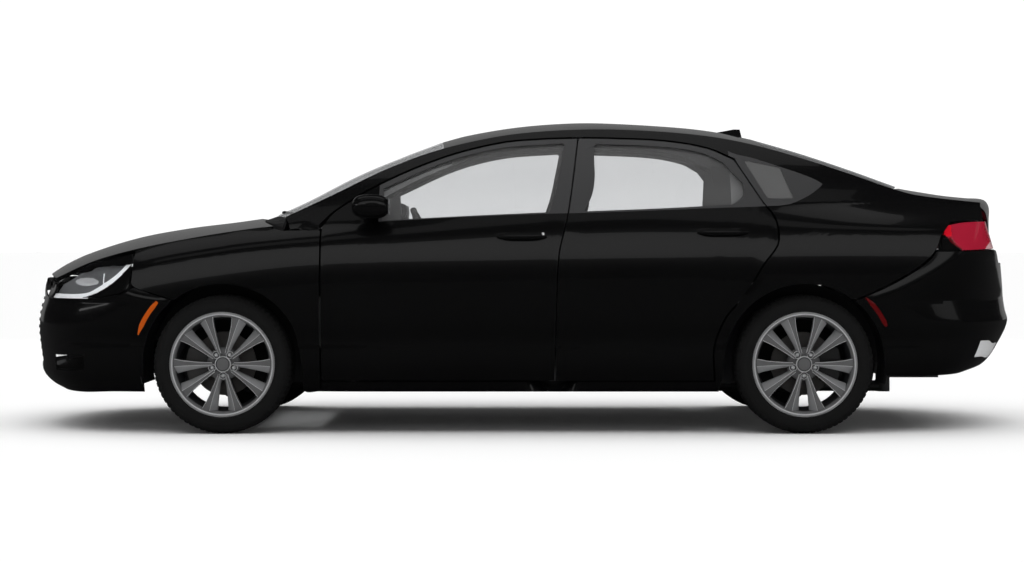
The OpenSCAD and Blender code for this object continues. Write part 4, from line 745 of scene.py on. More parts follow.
class Build:
    def __init__(self):
        self.verts, self.faces, self.part = [], [], []

    def add(self, verts, faces, part=0):
        base = len(self.verts)
        self.verts += [tuple(v) for v in verts]
        self.faces += [tuple(i + base for i in f) for f in faces]
        self.part += [part] * len(faces)

    def both_sides(self):
        n = len(self.verts)
        self.verts += [(x, -y, z) for x, y, z in self.verts]
        self.faces += [tuple(i + n for i in f[::-1]) for f in self.faces]
        self.part += self.part
        return self

    def mirrored(self):
        m = Build()
        m.verts = [(x, -y, z) for x, y, z in self.verts]
        m.faces = [f[::-1] for f in self.faces]
        m.part = list(self.part)
        return m

    def make(self, name, body, finishes, slot, **more):
        return shape(name, self.verts, self.faces, body, finishes, slot, part=self.part, **more)


def panel(build, outer, inner, cuts=(), part=0, edge_part=None, inner_part=None):
    n, m = outer.shape[0] - 1, outer.shape[1] - 1
    keep = np.ones((n, m), bool)
    for i0, i1, j0, j1 in cuts:
        keep[i0:i1, j0:j1] = False
    back = (n + 1) * (m + 1)
    at = np.arange(back).reshape(n + 1, m + 1)
    kinds = np.broadcast_to(np.asarray(part), (n, m))
    skin, edge, skin_part, edge_kind = [], [], [], []
    for i in range(n):
        for j in range(m):
            if not keep[i, j]:
                continue
            a, b, c, d = at[i, j], at[i + 1, j], at[i + 1, j + 1], at[i, j + 1]
            skin += [(a, b, c, d), (back + a, back + d, back + c, back + b)]
            skin_part += [int(kinds[i, j]), int(kinds[i, j]) if inner_part is None else inner_part]
            for open_side, p, q in ((j == 0 or not keep[i, j - 1], a, b), (i == n - 1 or not keep[i + 1, j], b, c),
                                    (j == m - 1 or not keep[i, j + 1], c, d), (i == 0 or not keep[i - 1, j], d, a)):
                if open_side:
                    edge.append((q, p, back + p, back + q))
                    edge_kind.append(int(kinds[i, j]) if edge_part is None else edge_part)
    verts = np.concatenate([outer.reshape(-1, 3), inner.reshape(-1, 3)])
    used = np.unique(np.array([i for f in skin for i in f]))
    new = np.full(len(verts), -1)
    new[used] = np.arange(len(used))
    base = len(build.verts)
    build.verts += [tuple(v) for v in verts[used]]
    build.faces += [tuple(int(new[i]) + base for i in f) for f in skin + edge]
    build.part += skin_part + edge_kind


def sleeve(rows, n):
    sides = [(k * n + i, k * n + (i + 1) % n, (k + 1) * n + (i + 1) % n, (k + 1) * n + i)
             for k in range(rows - 1) for i in range(n)]
    return sides + [tuple(range(n)), tuple(range((rows - 1) * n, rows * n))]


def panel_piece(name, outer, inner, body, finishes, slot, cuts=(), part=0, inner_part=None, **more):
    b = Build()
    panel(b, outer, inner, cuts, part, inner_part=inner_part)
    return b.make(name, body, finishes, slot, **more)


# Body shell
SIDES = (("left", -1), ("right", 1))
CAR = "car_body"
PANE_T, LID_T, DOOR_PANE_IN, QUARTER_PANE_IN = 6, 20, 14, 3
EDGE_ROUND, LID_ROUND = 1.6, 2.5


def for_side(build, sign):
    return build if sign > 0 else build.mirrored()


ring_outer, ring_inner = ring_skins()
ring_kind = np.zeros((ring_grid.shape[0] - 1, ring_grid.shape[1] - 1), int)
ring_kind[PILLAR_COLS[0] * FINE:PILLAR_COLS[1] * FINE, FINE:(RING_ROWS + 1) * FINE] = 1
side_frame = Build()
panel(side_frame, ring_outer, ring_inner, DOOR_HOLES + [QUARTER_CELLS], ring_kind, inner_part=2)
quarter_glass = Build()
pane = window_part(ring_grid, QUARTER_CELLS)
panel(quarter_glass, on_side(pane, QUARTER_PANE_IN), on_side(pane, QUARTER_PANE_IN + GLASS_T))
for side, sign in SIDES:
    for_side(side_frame, sign).make("side_frame_skin_" + side, CAR, [QUARTER_PAINT, SATIN, CABIN], "paint",
                                    replaces=["side_frame_" + side], bevel=EDGE_ROUND)
quarter_glass.both_sides().make("quarter_glass", CAR, QUARTER_GLASS, "glass", replaces=["quarter_windows"])

panel_piece("roof_skin", roof_grid, sunk(roof_grid, ROOF_T), CAR, [PAINT, CABIN], "paint", inner_part=1,
            replaces=["roof_panel"], bevel=1.2)
panel_piece("windscreen_pane", screen_grid, sunk(screen_grid, PANE_T), CAR, GLASS, "glass", replaces=["windscreen"])
panel_piece("rear_window_pane", back_grid, sunk(back_grid, PANE_T), CAR, DARK_GLASS, "glass", replaces=["rear_window"])
panel_piece("hood_skin", hood_grid, sunk(hood_grid, LID_T), "hood_body", PAINT, "paint", replaces=["hood"],
            bevel=LID_ROUND)
panel_piece("boot_lid_skin", lid_grid, sunk(lid_grid, LID_T), "boot_lid_body", PAINT, "paint", replaces=["boot_lid"],
            bevel=LID_ROUND)
fenders = Build()
panel(fenders, *fender_skins())
fenders.both_sides().make("fender_skins", CAR, PAINT, "paint", replaces=["front_fenders"], bevel=EDGE_ROUND)
panel_piece("front_bumper_skin", nose_grid, sunk(nose_grid, BUMPER_T), CAR, PAINT, "paint",
            cuts=[GRILLE_CELLS] + FOG_CELLS, replaces=["front_bumper"], bevel=EDGE_ROUND)
panel_piece("rear_bumper_skin", tail_grid, sunk(tail_grid, BUMPER_T), CAR, PAINT, "paint", replaces=["rear_bumper"],
            bevel=EDGE_ROUND)


# Doors with their window frames, handles and glass
HANDLE_L, HANDLE_H, HANDLE_RISE, HANDLE_CROWN, HANDLE_T = 236, 34, 30, 5, 13
LOCK_RINGS, LOCK_LIFT, LOCK_AT = [(7, 0.4), (7, 2.2), (6, 3.2), (3.5, 3.9), (1, 4.1)], 13, (87, 941)


def handle(build, x, z):
    xs = np.linspace(x - HANDLE_L / 2, x + HANDLE_L / 2, 41)
    zs = np.linspace(z - HANDLE_H / 2, z + HANDLE_H / 2, 13)
    u, v = 2 * (xs - x) / HANDLE_L, 2 * (zs - z) / HANDLE_H
    rise = HANDLE_RISE * (1 - u ** 4)
    crown = HANDLE_CROWN * (1 - v ** 2)
    g = np.stack(np.meshgrid(xs, zs, indexing="ij"), -1)
    taper = 1 - 0.35 * np.abs(u)[:, None] ** 3
    g[..., 1] = z + (g[..., 1] - z) * taper
    out = np.maximum(rise, 5.3)[:, None] - 4 + crown[None, :]
    back = np.maximum(rise - HANDLE_T, 0.3)[:, None] - 1.5 * crown[None, :] / HANDLE_CROWN
    back = np.minimum(back, out - 1)
    panel(build, on_side(g, -np.maximum(out, 1.5)), on_side(g, -np.maximum(back, 0.3)))


# The lock disc takes the pale finish: a painted glint
def lock(build, x, z, n=20):
    a = np.linspace(0, 2 * np.pi, n, endpoint=False)
    verts = [tuple(on_side([x + r * math.cos(q), z + r * math.sin(q)], -h - LOCK_LIFT))
             for r, h in LOCK_RINGS for q in a]
    build.add(verts, sleeve(len(LOCK_RINGS), n), 1)


for end, grid, handle_at in (("front", front_door_grid, (-12, 932)), ("rear", rear_door_grid, (930, 952))):
    door = Build()
    panel(door, on_side(grid), door_inner(grid), [WINDOW_CELLS], inner_part=1)
    grip = Build()
    handle(grip, *handle_at)
    if end == "front":
        lock(grip, *LOCK_AT)
    pane = window_part(grid, WINDOW_CELLS)
    glass = Build()
    panel(glass, on_side(pane, DOOR_PANE_IN), on_side(pane, DOOR_PANE_IN + GLASS_T))
    for side, sign in SIDES:
        body = "%s_door_%s_body" % (end, side)
        node = "%s_door_%s" % (end, side)
        for_side(door, sign).make(node + "_skin", body, [DOOR_PAINT, CABIN], "paint", replaces=[node], bevel=EDGE_ROUND)
        for_side(grip, sign).make(node + "_handle", body, [PAINT, PAINTED_GLINT], "paint", angle=50)
        window = "%s_glass_%s" % (end, side)
        for_side(glass, sign).make(window + "_pane", body, GLASS, "glass", replaces=[window])


# Wheels: barrel, ten flared spokes in five pairs, hub, nuts, disc and tyre, drawn about the hub, w outward
def turned(build, profile, segments, parts, closed=True, radius=None):
    p = np.asarray(profile, float)
    n = len(p)
    a = np.linspace(0, 2 * np.pi, segments, endpoint=False)
    r = np.broadcast_to(p[:, 0], (segments, n)) if radius is None else radius
    v = np.stack([r * np.cos(a)[:, None], r * np.sin(a)[:, None], np.broadcast_to(p[:, 1], (segments, n))], -1)
    base = len(build.verts)
    build.verts += [tuple(q) for q in v.reshape(-1, 3)]
    for k in range(segments):
        for i in range(n if closed else n - 1):
            j, m = (i + 1) % n, (k + 1) % segments
            build.faces.append((base + k * n + i, base + m * n + i, base + m * n + j, base + k * n + j))
            build.part.append(parts[i % len(parts)])


def spoke(build, angle, side):
    radii = [52, 66, 82, 104, 130, 160, 190, 214, 226]
    half = [8, 8.5, 9, 10, 12, 15, 19, 24, 27]
    flank = [5, 6, 7, 9, 12, 15, 18, 20, 21]
    top = [80, 84, 87, 89, 91, 94, 98, 102, 103]
    c, s = math.cos(angle), math.sin(angle)
    verts = []
    for r, h, f, w in zip(radii, half, flank, top):
        section = [(-h, w - 40), (-h, w - 3), (-h + 2.6, w), (0.35 * h, w), (0.35 * h + 2.2, w - 1.6),
                   (h + f, w - 18 - f), (h + f, w - 44)]
        verts += [(r * c - side * t * s, r * s + side * t * c, out) for t, out in section]
    base = len(build.verts)
    build.verts += verts
    build.faces += [tuple(i + base for i in f) for f in sleeve(len(radii), len(section))]
    build.part += [0, 1, 0, 1, 3, 0, 2] * (len(radii) - 1) + [0, 0]


def ring_at(build, at_r, angle, profile, segments, parts):
    b = Build()
    turned(b, profile, segments, parts, closed=False)
    c = (at_r * math.cos(angle), at_r * math.sin(angle))
    base = len(build.verts)
    build.verts += [(x + c[0], y + c[1], w) for x, y, w in b.verts]
    build.faces += [tuple(i + base for i in f) for f in b.faces]
    build.part += b.part


RIM = [(233, 109), (239, 112), (245, 112), (248, 109), (248, 105), (229.6, 103), (229.6, 60), (217, 30), (217, -40),
       (229.6, -60), (229.6, -103), (248, -106), (248, -112), (240, -112), (221, -106), (221, -60), (209, -40),
       (209, 30), (219, 56), (222, 84), (226, 100)]
NUT_WELL = [(18, 58), (18.5, 74), (17, 76.5), (15, 76), (14, 66), (13, 62), (0.01, 62)]
NUT = [(10.5, 60), (10.5, 72), (9, 75), (7.5, 80), (5.5, 83), (3, 84.4), (0.01, 84.6)]
HUB = [(0.01, 68), (44, 68), (72, 66), (78, 60), (80, 46), (60, 44), (0.01, 44)]
HUB_CAP = [(40, 66), (38, 80), (34, 85), (31, 86), (29.6, 84.6), (28.6, 86.2), (22, 88.6), (12, 90.2), (0.01, 90.8)]
DISC = [(76, 17.4), (149, 17.4), (150, 16.4), (150, 10), (132, 9), (132, 4), (150, 3), (150, -3), (149, -4), (70, -4),
        (70, 14), (76, 44)]
NUT_CIRCLE = 54


def wheel_build():
    b = Build()
    turned(b, RIM, 144, [1] + [3] * 3 + [2] * 15 + [0] * 2)
    for k in range(5):
        middle = math.pi / 2 + k * 2 * math.pi / 5
        spoke(b, middle + math.pi / 10, 1)
        spoke(b, middle - math.pi / 10, -1)
        nut = middle + math.pi / 5
        ring_at(b, NUT_CIRCLE, nut, NUT_WELL, 36, [0, 1, 1, 2, 2, 2])
        ring_at(b, NUT_CIRCLE, nut, NUT, 6, [1])
    turned(b, HUB, 72, [0, 0, 0, 0, 2, 2], closed=False)
    turned(b, HUB_CAP, 72, [0, 1, 0, 2, 2, 0, 0, 0], closed=False)
    turned(b, DISC, 96, [4, 4, 4, 2, 2, 2, 4, 4, 4, 2, 2, 2])
    return b


def tyre_build():
    half = TYRE_W / 2
    side = [(RIM_R - 18.4, 102.4), (RIM_R - 4, 106), (RIM_R + 1, 107), (RIM_R + 3, 111), (RIM_R + 7, 113.4),
            (RIM_R + 11, 113), (RIM_R + 13, 114), (RIM_R + 22, half - 0.6), (RIM_R + 34, half),
            (RIM_R + 44, half - 0.6), (RIM_R + 46, half - 1.6), (RIM_R + 48, half - 1.2), (TYRE_R - 26, half - 4),
            (TYRE_R - 24, half - 3.6), (TYRE_R - 20, half - 6.4), (TYRE_R - 13, half - 12), (TYRE_R - 8, half - 18),
            (TYRE_R - 3.6, half - 28)]
    tread = [(TYRE_R - 1, 80), (TYRE_R - 0.4, 62), (TYRE_R - 7, 60), (TYRE_R - 7, 52), (TYRE_R - 0.2, 50),
             (TYRE_R, 30), (TYRE_R, 14), (TYRE_R - 7, 12)]
    out = side + tread
    profile = out + [(r, -w) for r, w in out[::-1]]
    p = np.asarray(profile, float)
    turns, block, sipe = 288, 4, 3.5
    r = np.repeat(p[None, :, 0], turns, 0)
    cut = (np.arange(turns) % block == 0)[:, None]
    wide = (np.abs(p[:, 1]) > 61) & (p[:, 0] > TYRE_R - 21)
    r = np.where(cut & wide[None, :], r - sipe, r)
    b = Build()
    turned(b, profile, turns, [0], radius=r)
    return b


def put(build, axle, sign):
    m = Build()
    m.verts = [(axle + x, sign * (HUB_Y + w), TYRE_R + y) for x, y, w in build.verts]
    m.faces, m.part = list(build.faces), list(build.part)
    return m


wheel_parts, tyre_parts = wheel_build(), tyre_build()
for end, axle in (("front", FRONT_AXLE), ("rear", REAR_AXLE)):
    for side, sign in SIDES:
        corner = "%s_%s" % (end, side)
        put(wheel_parts, axle, sign).make("ten_spoke_wheel_" + corner, "wheel_%s_body" % corner,
                                          [ALLOY, BRIGHT, DARK_ALLOY, FLANK, IRON], "wheel_alloy",
                                          replaces=["wheel_" + corner], angle=28)
        put(tyre_parts, axle, sign).make("road_tyre_" + corner, "wheel_%s_body" % corner, RUBBER, "tyre",
                                         replaces=["tyre_" + corner], angle=30)


# Dark walls that close the wheel houses on their inner side
HOUSE_R, HOUSE_LOW, LIP_R, LIP_OUT = 384, 218, 397, 840


def house_wall(axle, y, r, low):
    a = np.linspace(math.asin((low - TYRE_R) / r), math.pi - math.asin((low - TYRE_R) / r), 49)
    outline = np.stack([axle + r * np.cos(a), TYRE_R + r * np.sin(a)], 1)
    middle = np.array([axle, low])
    t = np.linspace(0, 1, 13)
    g = middle + (outline[:, None] - middle) * t[None, :, None]
    press = 2.5 * np.cos(t * 9 * np.pi)[None, :] * np.ones((49, 1)) * (t < 0.96)[None, :]
    outer = np.stack([g[..., 0], y + press, g[..., 1]], -1)
    b = Build()
    panel(b, outer, outer - [0, 4, 0])
    return b


for name, axle, y in (("front", FRONT_AXLE, 476), ("rear", REAR_AXLE, 568)):
    house_wall(axle, y, HOUSE_R, HOUSE_LOW).both_sides().make("wheel_house_walls_" + name, CAR, PLASTIC, "trim")


# Lower lips of the arch liners, down to the bumper and sill
def liner_lip(build, axle, a0, a1, y0, y1):
    a, t = np.radians(np.linspace(a0, a1, 25)), np.linspace(0, 1, 13)
    r = (LIP_R + 1.2 * np.sin(t * 6 * np.pi))[None, :]
    g = np.stack([axle + r * np.cos(a)[:, None], np.broadcast_to((y0 + (y1 - y0) * t)[None, :], (25, 13)),
                  TYRE_R + r * np.sin(a)[:, None]], -1)
    out = np.stack([np.cos(a), np.zeros(25), np.sin(a)], -1)[:, None]
    panel(build, g, g + out * 3)


lips = Build()
for axle, y0 in ((FRONT_AXLE, 478), (REAR_AXLE, 570)):
    liner_lip(lips, axle, -14, 27, y0, LIP_OUT)
    liner_lip(lips, axle, 153, 194, y0, LIP_OUT)
lips.both_sides().make("arch_liner_lips", CAR, PLASTIC, "trim")


# Headlamps: clear lens over a grey bowl with a reflector in a pale finish that paints its glint, a short upright bar
# and the light strip
def flat_mean(g):
    return (g[:-1, :-1] + g[1:, :-1] + g[1:, 1:] + g[:-1, 1:]) / 4


LAMP_TOP = [[-2285, 650], [-2212, 734], [-2175, 752], [-2088, 766], [-2055, 784], [-1886, 797]]
LAMP_FOOT = [[-2345, 634], [-2150, 636], [-2079, 645], [-2000, 676], [-1930, 726], [-1868, 792]]
TAIL_FOOT = [[1971, 951], [2000, 932], [2026, 899], [2080, 865]]
BOWL_X, BOWL_Z, BOWL_L, BOWL_H, BAR_X, BAR_Z = -2105, 722, 85, 24, -2006, 736
PALE_X, PALE_Z, TIP_Z = 2205, 870, 928


def headlamps():
    patch = spread(headlamp_patch(), 3)
    n, m = patch.shape[0] - 1, patch.shape[1] - 1
    x, z = patch[..., 0], patch[..., 2]
    base = curve(LAMP_FOOT, x)
    slant = np.interp(x, [-2079, -2000, -1868], [26, 40, 44])
    strip = np.clip((base + slant - z) / 3, 0, 1)
    bowl = np.clip(1.25 - np.hypot((x - BOWL_X) / BOWL_L, (z - BOWL_Z) / BOWL_H), 0, 1)
    bar = np.clip((7 - np.abs(x - BAR_X)) / 2, 0, 1) * np.clip((26 - np.abs(z - BAR_Z)) / 4, 0, 1)
    deep = 15 - 8 * strip + 14 * bowl * bowl - 7 * bar
    normal = patch - sunk(patch, -1.0)
    floor = patch - normal * (deep + 3)[..., None]
    kind = np.zeros((n, m), int)
    dark = np.clip((base - 3 - z) / 2, 0, 1) + np.clip((z - curve(LAMP_TOP, x) - 3) / 2, 0, 1)
    for k, field in ((1, bowl * 1.1), (2, strip), (2, bar), (3, dark)):
        kind[flat_mean(field) > 0.5] = k
    bowls = Build()
    panel(bowls, floor, floor - normal * 3, part=kind)
    bowls.both_sides().make("headlamp_bowls", CAR, [BEZEL, PAINTED_GLINT, GLOW, PIANO], "clear_lens", angle=50)
    lens = Build()
    c = flat_mean(patch)
    painted = (c[..., 2] < curve(LAMP_FOOT, c[..., 0])) | (c[..., 2] > curve(LAMP_TOP, c[..., 0]))
    panel(lens, patch, patch - normal * 3, part=painted.astype(int))
    lens.both_sides().make("headlamp_lenses", CAR, [CLEAR, PAINT], "clear_lens", replaces=["headlamps"], angle=50)


# Tail lamps: rose lens with a vivid tip, a dark crescent and a pale lower corner
def tail_lamps():
    patch = spread(taillamp_patch(), 3)
    n, m = patch.shape[0] - 1, patch.shape[1] - 1
    x, z = patch[..., 0], patch[..., 2]
    edge = np.interp(z, [868, 896, 930, 945], [2080, 2046, 2022, 2012])
    crescent = np.clip((edge - x) / 6, 0, 1) * np.clip((TIP_Z - z) / 5, 0, 1)
    tip = np.clip((2030 - x) / 8, 0, 1) * np.clip((z - TIP_Z) / 5, 0, 1)
    step = 5 * crescent + 1.5 * tip
    normal = patch - sunk(patch, 1.0)
    outer = patch - normal * step[..., None]
    kind = np.zeros((n, m), int)
    c = flat_mean(patch)
    for k, field in ((1, tip), (2, crescent)):
        kind[flat_mean(field) > 0.5] = k
    pale = (c[..., 0] > PALE_X) & (c[..., 2] < PALE_Z + 35) & (c[..., 0] - PALE_X > c[..., 2] - PALE_Z)
    kind[pale] = 3
    kind[(c[..., 0] < 2080) & (c[..., 2] < curve(TAIL_FOOT, c[..., 0]))] = 4
    lamp = Build()
    panel(lamp, outer, patch - normal * 14, part=kind)
    lamp.both_sides().make("tail_lamp_lenses", CAR, [ROSE, VIVID, DEEP_RED, PALE, PAINT], "red_lens",
                           replaces=["tail_lamps"], angle=40)


headlamps()
tail_lamps()


# Side markers that follow the bumper corners
def corner_y(point, x, z):
    q = np.linspace(0.5, 1, 201)
    p = point(q, np.full_like(q, z))
    order = np.argsort(p[:, 0])
    return float(np.interp(x, p[order, 0], p[order, 1]))


def marker(axle, a, b, point):
    t = np.radians(np.linspace(a, b, 41))
    r = np.linspace(-0.5, 0.5, 9)
    taper = np.minimum(1, 0.25 + 3.0 * np.minimum(np.linspace(0, 1, 41), np.linspace(1, 0.12, 41)))
    radius = ARCH_R + 44 + 22 * np.outer(taper, r)
    g = np.stack([axle + radius * np.cos(t)[:, None], TYRE_R + radius * np.sin(t)[:, None]], -1)
    y = np.array([[corner_y(point, *g[i, j]) for j in range(9)] for i in range(41)])
    crown = 2.4 * (1 - (2 * r[None, :]) ** 2) + 0.8
    outer = np.stack([g[..., 0], y + crown, g[..., 1]], -1)
    build = Build()
    panel(build, outer, np.stack([g[..., 0], y + 0.3, g[..., 1]], -1))
    return build


marker(FRONT_AXLE, 161, 136, nose_point).both_sides().make("front_marker_lenses", CAR, AMBER, "marker_lens",
                                                           replaces=["side_markers"], angle=50)
marker(REAR_AXLE, 48, 25, tail_point).both_sides().make("rear_marker_lenses", CAR, DEEP_RED, "red_lens", angle=50)


# Mirrors: a rounded shell on a dark stalk, with the glass on the rear face
MIRROR_X, MIRROR_Z, MIRROR_TURNS, STALK_END = -722, 1052, 48, 40
MIRROR_RINGS = np.array([[0, 0, 0, 34, 15, 2.0], [22, 0, 1, 34, 15, 2.1], [34, -1, 5, 46, 24, 2.2],
                         [46, -2, 11, 70, 44, 2.4], [60, -2, 15, 82, 53, 2.6], [90, 0, 17, 89, 57.5, 2.7],
                         [125, 2, 17, 89, 58, 2.7], [155, 5, 17, 82, 53, 2.6], [172, 9, 17, 66, 43, 2.4],
                         [180, 12, 17, 40, 27, 2.2], [182, 13, 17, 8, 6, 2.0]])


def mirror_shell():
    x0, z0, n = MIRROR_X, MIRROR_Z, MIRROR_TURNS
    yb = float(side_y(x0, z0))
    rings = along(MIRROR_RINGS, n)
    a = np.linspace(0, 2 * np.pi, n + 1)[:-1]
    b = Build()
    for y, dx, dz, rx, rz, power in rings:
        c = np.sign(np.cos(a)) * np.abs(np.cos(a)) ** (2 / power)
        s = np.sign(np.sin(a)) * np.abs(np.sin(a)) ** (2 / power)
        px, pz = x0 + dx + rx * c, z0 + dz + rz * s
        py = np.where(y < 12, side_y(px, pz) + 1.0 + y * 0.8, yb + y)
        b.verts += [tuple(q) for q in np.stack([px, py, pz], 1)]
    b.faces = sleeve(len(rings), n)
    b.part = [1 if ring[0] < STALK_END else 0 for ring in rings[:-1] for _ in range(n)] + [1, 0]
    g = np.stack(np.meshgrid(np.linspace(yb + 66, yb + 160, 17), z0 + 17 + np.linspace(-38, 38, 13),
                             indexing="ij"), -1)
    bulge = 2.5 * (1 - ((g[..., 0] - yb - 113) / 47) ** 2)
    face = np.stack([x0 + 86.5 + bulge, g[..., 0], g[..., 1]], -1)
    panel(b, face, face - [4, 0, 0], part=2)
    return b


for side, sign in SIDES:
    for_side(mirror_shell(), sign).make("door_mirror_" + side, "front_door_%s_body" % side, [PAINT, PIANO, CHROME],
                                        "paint", replaces=["mirror_" + side], angle=45)


# Rubber lips that close the gap above the doors from inside
seals = Build()
for a, b in HOLE_COLS:
    head = ring_grid[a * FINE:b * FINE + 1, (RING_ROWS + 1) * FINE]
    rows = np.stack([head + [0, 3 - d] for d in np.linspace(0, 26, 5)], 1)
    panel(seals, on_side(rows, FRAME_T + 3), on_side(rows, FRAME_T + 11))
seals.both_sides().make("door_head_seals", CAR, SEAL, "trim")


# Lining of the rear pillars, seen through the rear windows
LINING_FROM, LINING_TO = 985, 1420
lining = Build()
xs = np.linspace(LINING_FROM, LINING_TO, 28)
foot, crest = curve(BELT_Z, xs) + 4, curve(RAIL_Z, xs) - 75
rise = np.linspace(0, 1, 15)
rows = np.stack([np.broadcast_to(xs[:, None], (28, 15)), foot[:, None] + (crest - foot)[:, None] * rise[None]], -1)
ripple = 1.5 * np.sin(rise * 2 * np.pi)[None, :]
panel(lining, on_side(rows, FRAME_T + 4 + ripple), on_side(rows, FRAME_T + 11 + ripple))
lining.both_sides().make("rear_pillar_lining", CAR, CABIN, "trim", bevel=1.5)


# Dark backs behind the lamps
backs = Build()
for patch, way in ((spread(headlamp_patch(), 2), -1.0), (spread(taillamp_patch(), 2), 1.0)):
    normal = patch - sunk(patch, way)
    c = patch.mean((0, 1))
    g = c + (patch - c) * [1.03, 1.0, 1.06] - normal * 36
    panel(backs, g, g - normal * 3)
backs.both_sides().make("lamp_backs", CAR, PLASTIC, "trim")


# Exhaust finishers low on the tail, in a pale finish that paints their chrome glint
FINISHER_X, FINISHER_Y, FINISHER_Z = 2165, (-660, -430), (352, 418)


def domed(n):
    return np.sin(np.linspace(0, np.pi, n)) ** 0.3


mid = flat_mean(tail_grid)
low_corner = ((mid[..., 0] > FINISHER_X) & (mid[..., 1] > FINISHER_Y[0]) & (mid[..., 1] < FINISHER_Y[1])
              & (mid[..., 2] > FINISHER_Z[0]) & (mid[..., 2] < FINISHER_Z[1]))
i_at, j_at = np.nonzero(low_corner)
part_grid = tail_grid[i_at.min():i_at.max() + 2, j_at.min():j_at.max() + 2]
out = part_grid - sunk(part_grid, 1.0)
ends = domed(part_grid.shape[0])[:, None, None] * domed(part_grid.shape[1])[None, :, None]
finisher = Build()
panel(finisher, part_grid + out * (0.6 + 5 * ends), part_grid + out * 0.3)
finisher.both_sides().make("exhaust_finishers", CAR, PAINTED_GLINT, "steel", angle=50)


# Seats: rounded pads with sewn channels and two long seams
SEAM_DEEP, QUILT_DEEP, PRESSURE, FRAMES = 5, 3.5, 4, 20


def outline_run(points, n):
    p = np.asarray(points, float)
    return along(np.vstack([p, p[:1]]), n)[:-1]


def pad(build, profile, y, width, crown, channels, round_r=34, n=120, m=49):
    run = outline_run(profile, n)
    t = np.roll(run, -1, 0) - np.roll(run, 1, 0)
    out = np.stack([t[:, 1], -t[:, 0]], 1) / np.linalg.norm(t, axis=1)[:, None]
    middle = run.mean(0)
    if ((run - middle) * out).sum() < 0:
        out = -out
    s = np.linspace(-1, 1, m)
    ys = y + width / 2 * np.sin(s * np.pi / 2)
    edge = np.clip((np.abs(ys - y) - width / 2 + round_r) / round_r, 0, 1)
    inset = round_r * (1 - np.sqrt(1 - edge ** 2))
    seam = SEAM_DEEP * np.exp(-((np.abs(ys - y) - 0.3 * width) / 5) ** 2)
    swell = crown * (1 - ((ys - y) / (width / 2)) ** 2)
    phase = np.arange(n) / n
    quilt = QUILT_DEEP * np.exp(-((((phase * channels) % 1) - 0.5) / 0.09) ** 2)
    push = (swell - seam - inset)[:, None] - quilt[None, :] * (1 - edge)[:, None]
    pts = run[None] + out[None] * push[..., None]
    verts = np.stack([pts[..., 0], np.broadcast_to(ys[:, None], push.shape), pts[..., 1]], -1).reshape(-1, 3)
    build.add(verts, sleeve(m, n))
    stitched = (seam[:, None] > 2.5) | (quilt[None, :] > 1.7) | (edge[:, None] > 0.95)
    return [int(i) for i in np.flatnonzero(stitched.reshape(-1))]


def inflate(o, sewn, most=0.012):
    scene, mesh = bpy.context.scene, o.data
    start = np.array([v.co for v in mesh.vertices])
    group = o.vertex_groups.new(name="sewn")
    group.add(sewn, 1.0, "REPLACE")
    cloth = o.modifiers.new("padding", "CLOTH")
    cloth.settings.use_pressure = True
    cloth.settings.uniform_pressure_force = PRESSURE
    cloth.settings.vertex_group_mass = "sewn"
    cloth.settings.effector_weights.gravity = 0
    cloth.collision_settings.use_collision = False
    for f in range(1, FRAMES + 1):
        scene.frame_set(f)
    blown = o.evaluated_get(bpy.context.evaluated_depsgraph_get()).to_mesh()
    move = np.array([v.co for v in blown.vertices])[:len(start)] - start
    far = np.linalg.norm(move, axis=1)
    move *= np.minimum(1, most / np.maximum(far, 1e-9))[:, None]
    o.modifiers.remove(cloth)
    o.vertex_groups.remove(group)
    mesh.vertices.foreach_set("co", (start + move).astype(np.float32).reshape(-1))
    mesh.update()
    scene.frame_set(1)


CUSHION = [[8, 400], [22, 335], [150, 318], [300, 318], [462, 330], [480, 420], [462, 484], [300, 488], [140, 494],
           [50, 492]]
BACKREST = [[478, 360], [555, 340], [600, 460], [680, 690], [748, 915], [738, 966], [700, 968], [640, 840],
            [560, 650], [496, 520]]
HEADREST = [[706, 985], [756, 975], [792, 1070], [796, 1110], [772, 1126], [738, 1122], [722, 1060]]
REAR_CUSHION = [[-312, 420], [-300, 300], [-150, 240], [-12, 240], [-10, 365], [90, 380], [100, 470], [70, 512],
                [-100, 514], [-250, 512], [-300, 484]]
REAR_BACK = [[106, 470], [196, 366], [262, 480], [350, 730], [428, 960], [432, 985], [400, 1006], [366, 1000],
             [280, 820], [160, 580]]
REAR_REST = [[362, 1000], [420, 986], [458, 1090], [438, 1116], [400, 1112], [380, 1060]]
FRONT_PADS = (("cushion", CUSHION, 476, 3, 9), ("backrest", BACKREST, 476, 3, 11), ("headrest", HEADREST, 256, 3, 3))
FRONT_SEAT_X, FRONT_SEAT_Y, REAR_SEAT_X, REAR_REST_Y = -480, 402, 760, 330
REST_POST_R, REST_POST_TURNS, REST_POST_OFF = 6, 16, 60


def seat_set(name, x, rows, replaces):
    for k, (part, profile, y, width, crown, channels) in enumerate(rows):
        b = Build()
        sewn = pad(b, [[x + px, pz] for px, pz in profile], y, width, crown, channels)
        o = b.make("%s_%s" % (name, part), CAR, HIDE, "hide", replaces=replaces if k == 0 else (), angle=60)
        inflate(o, sewn)


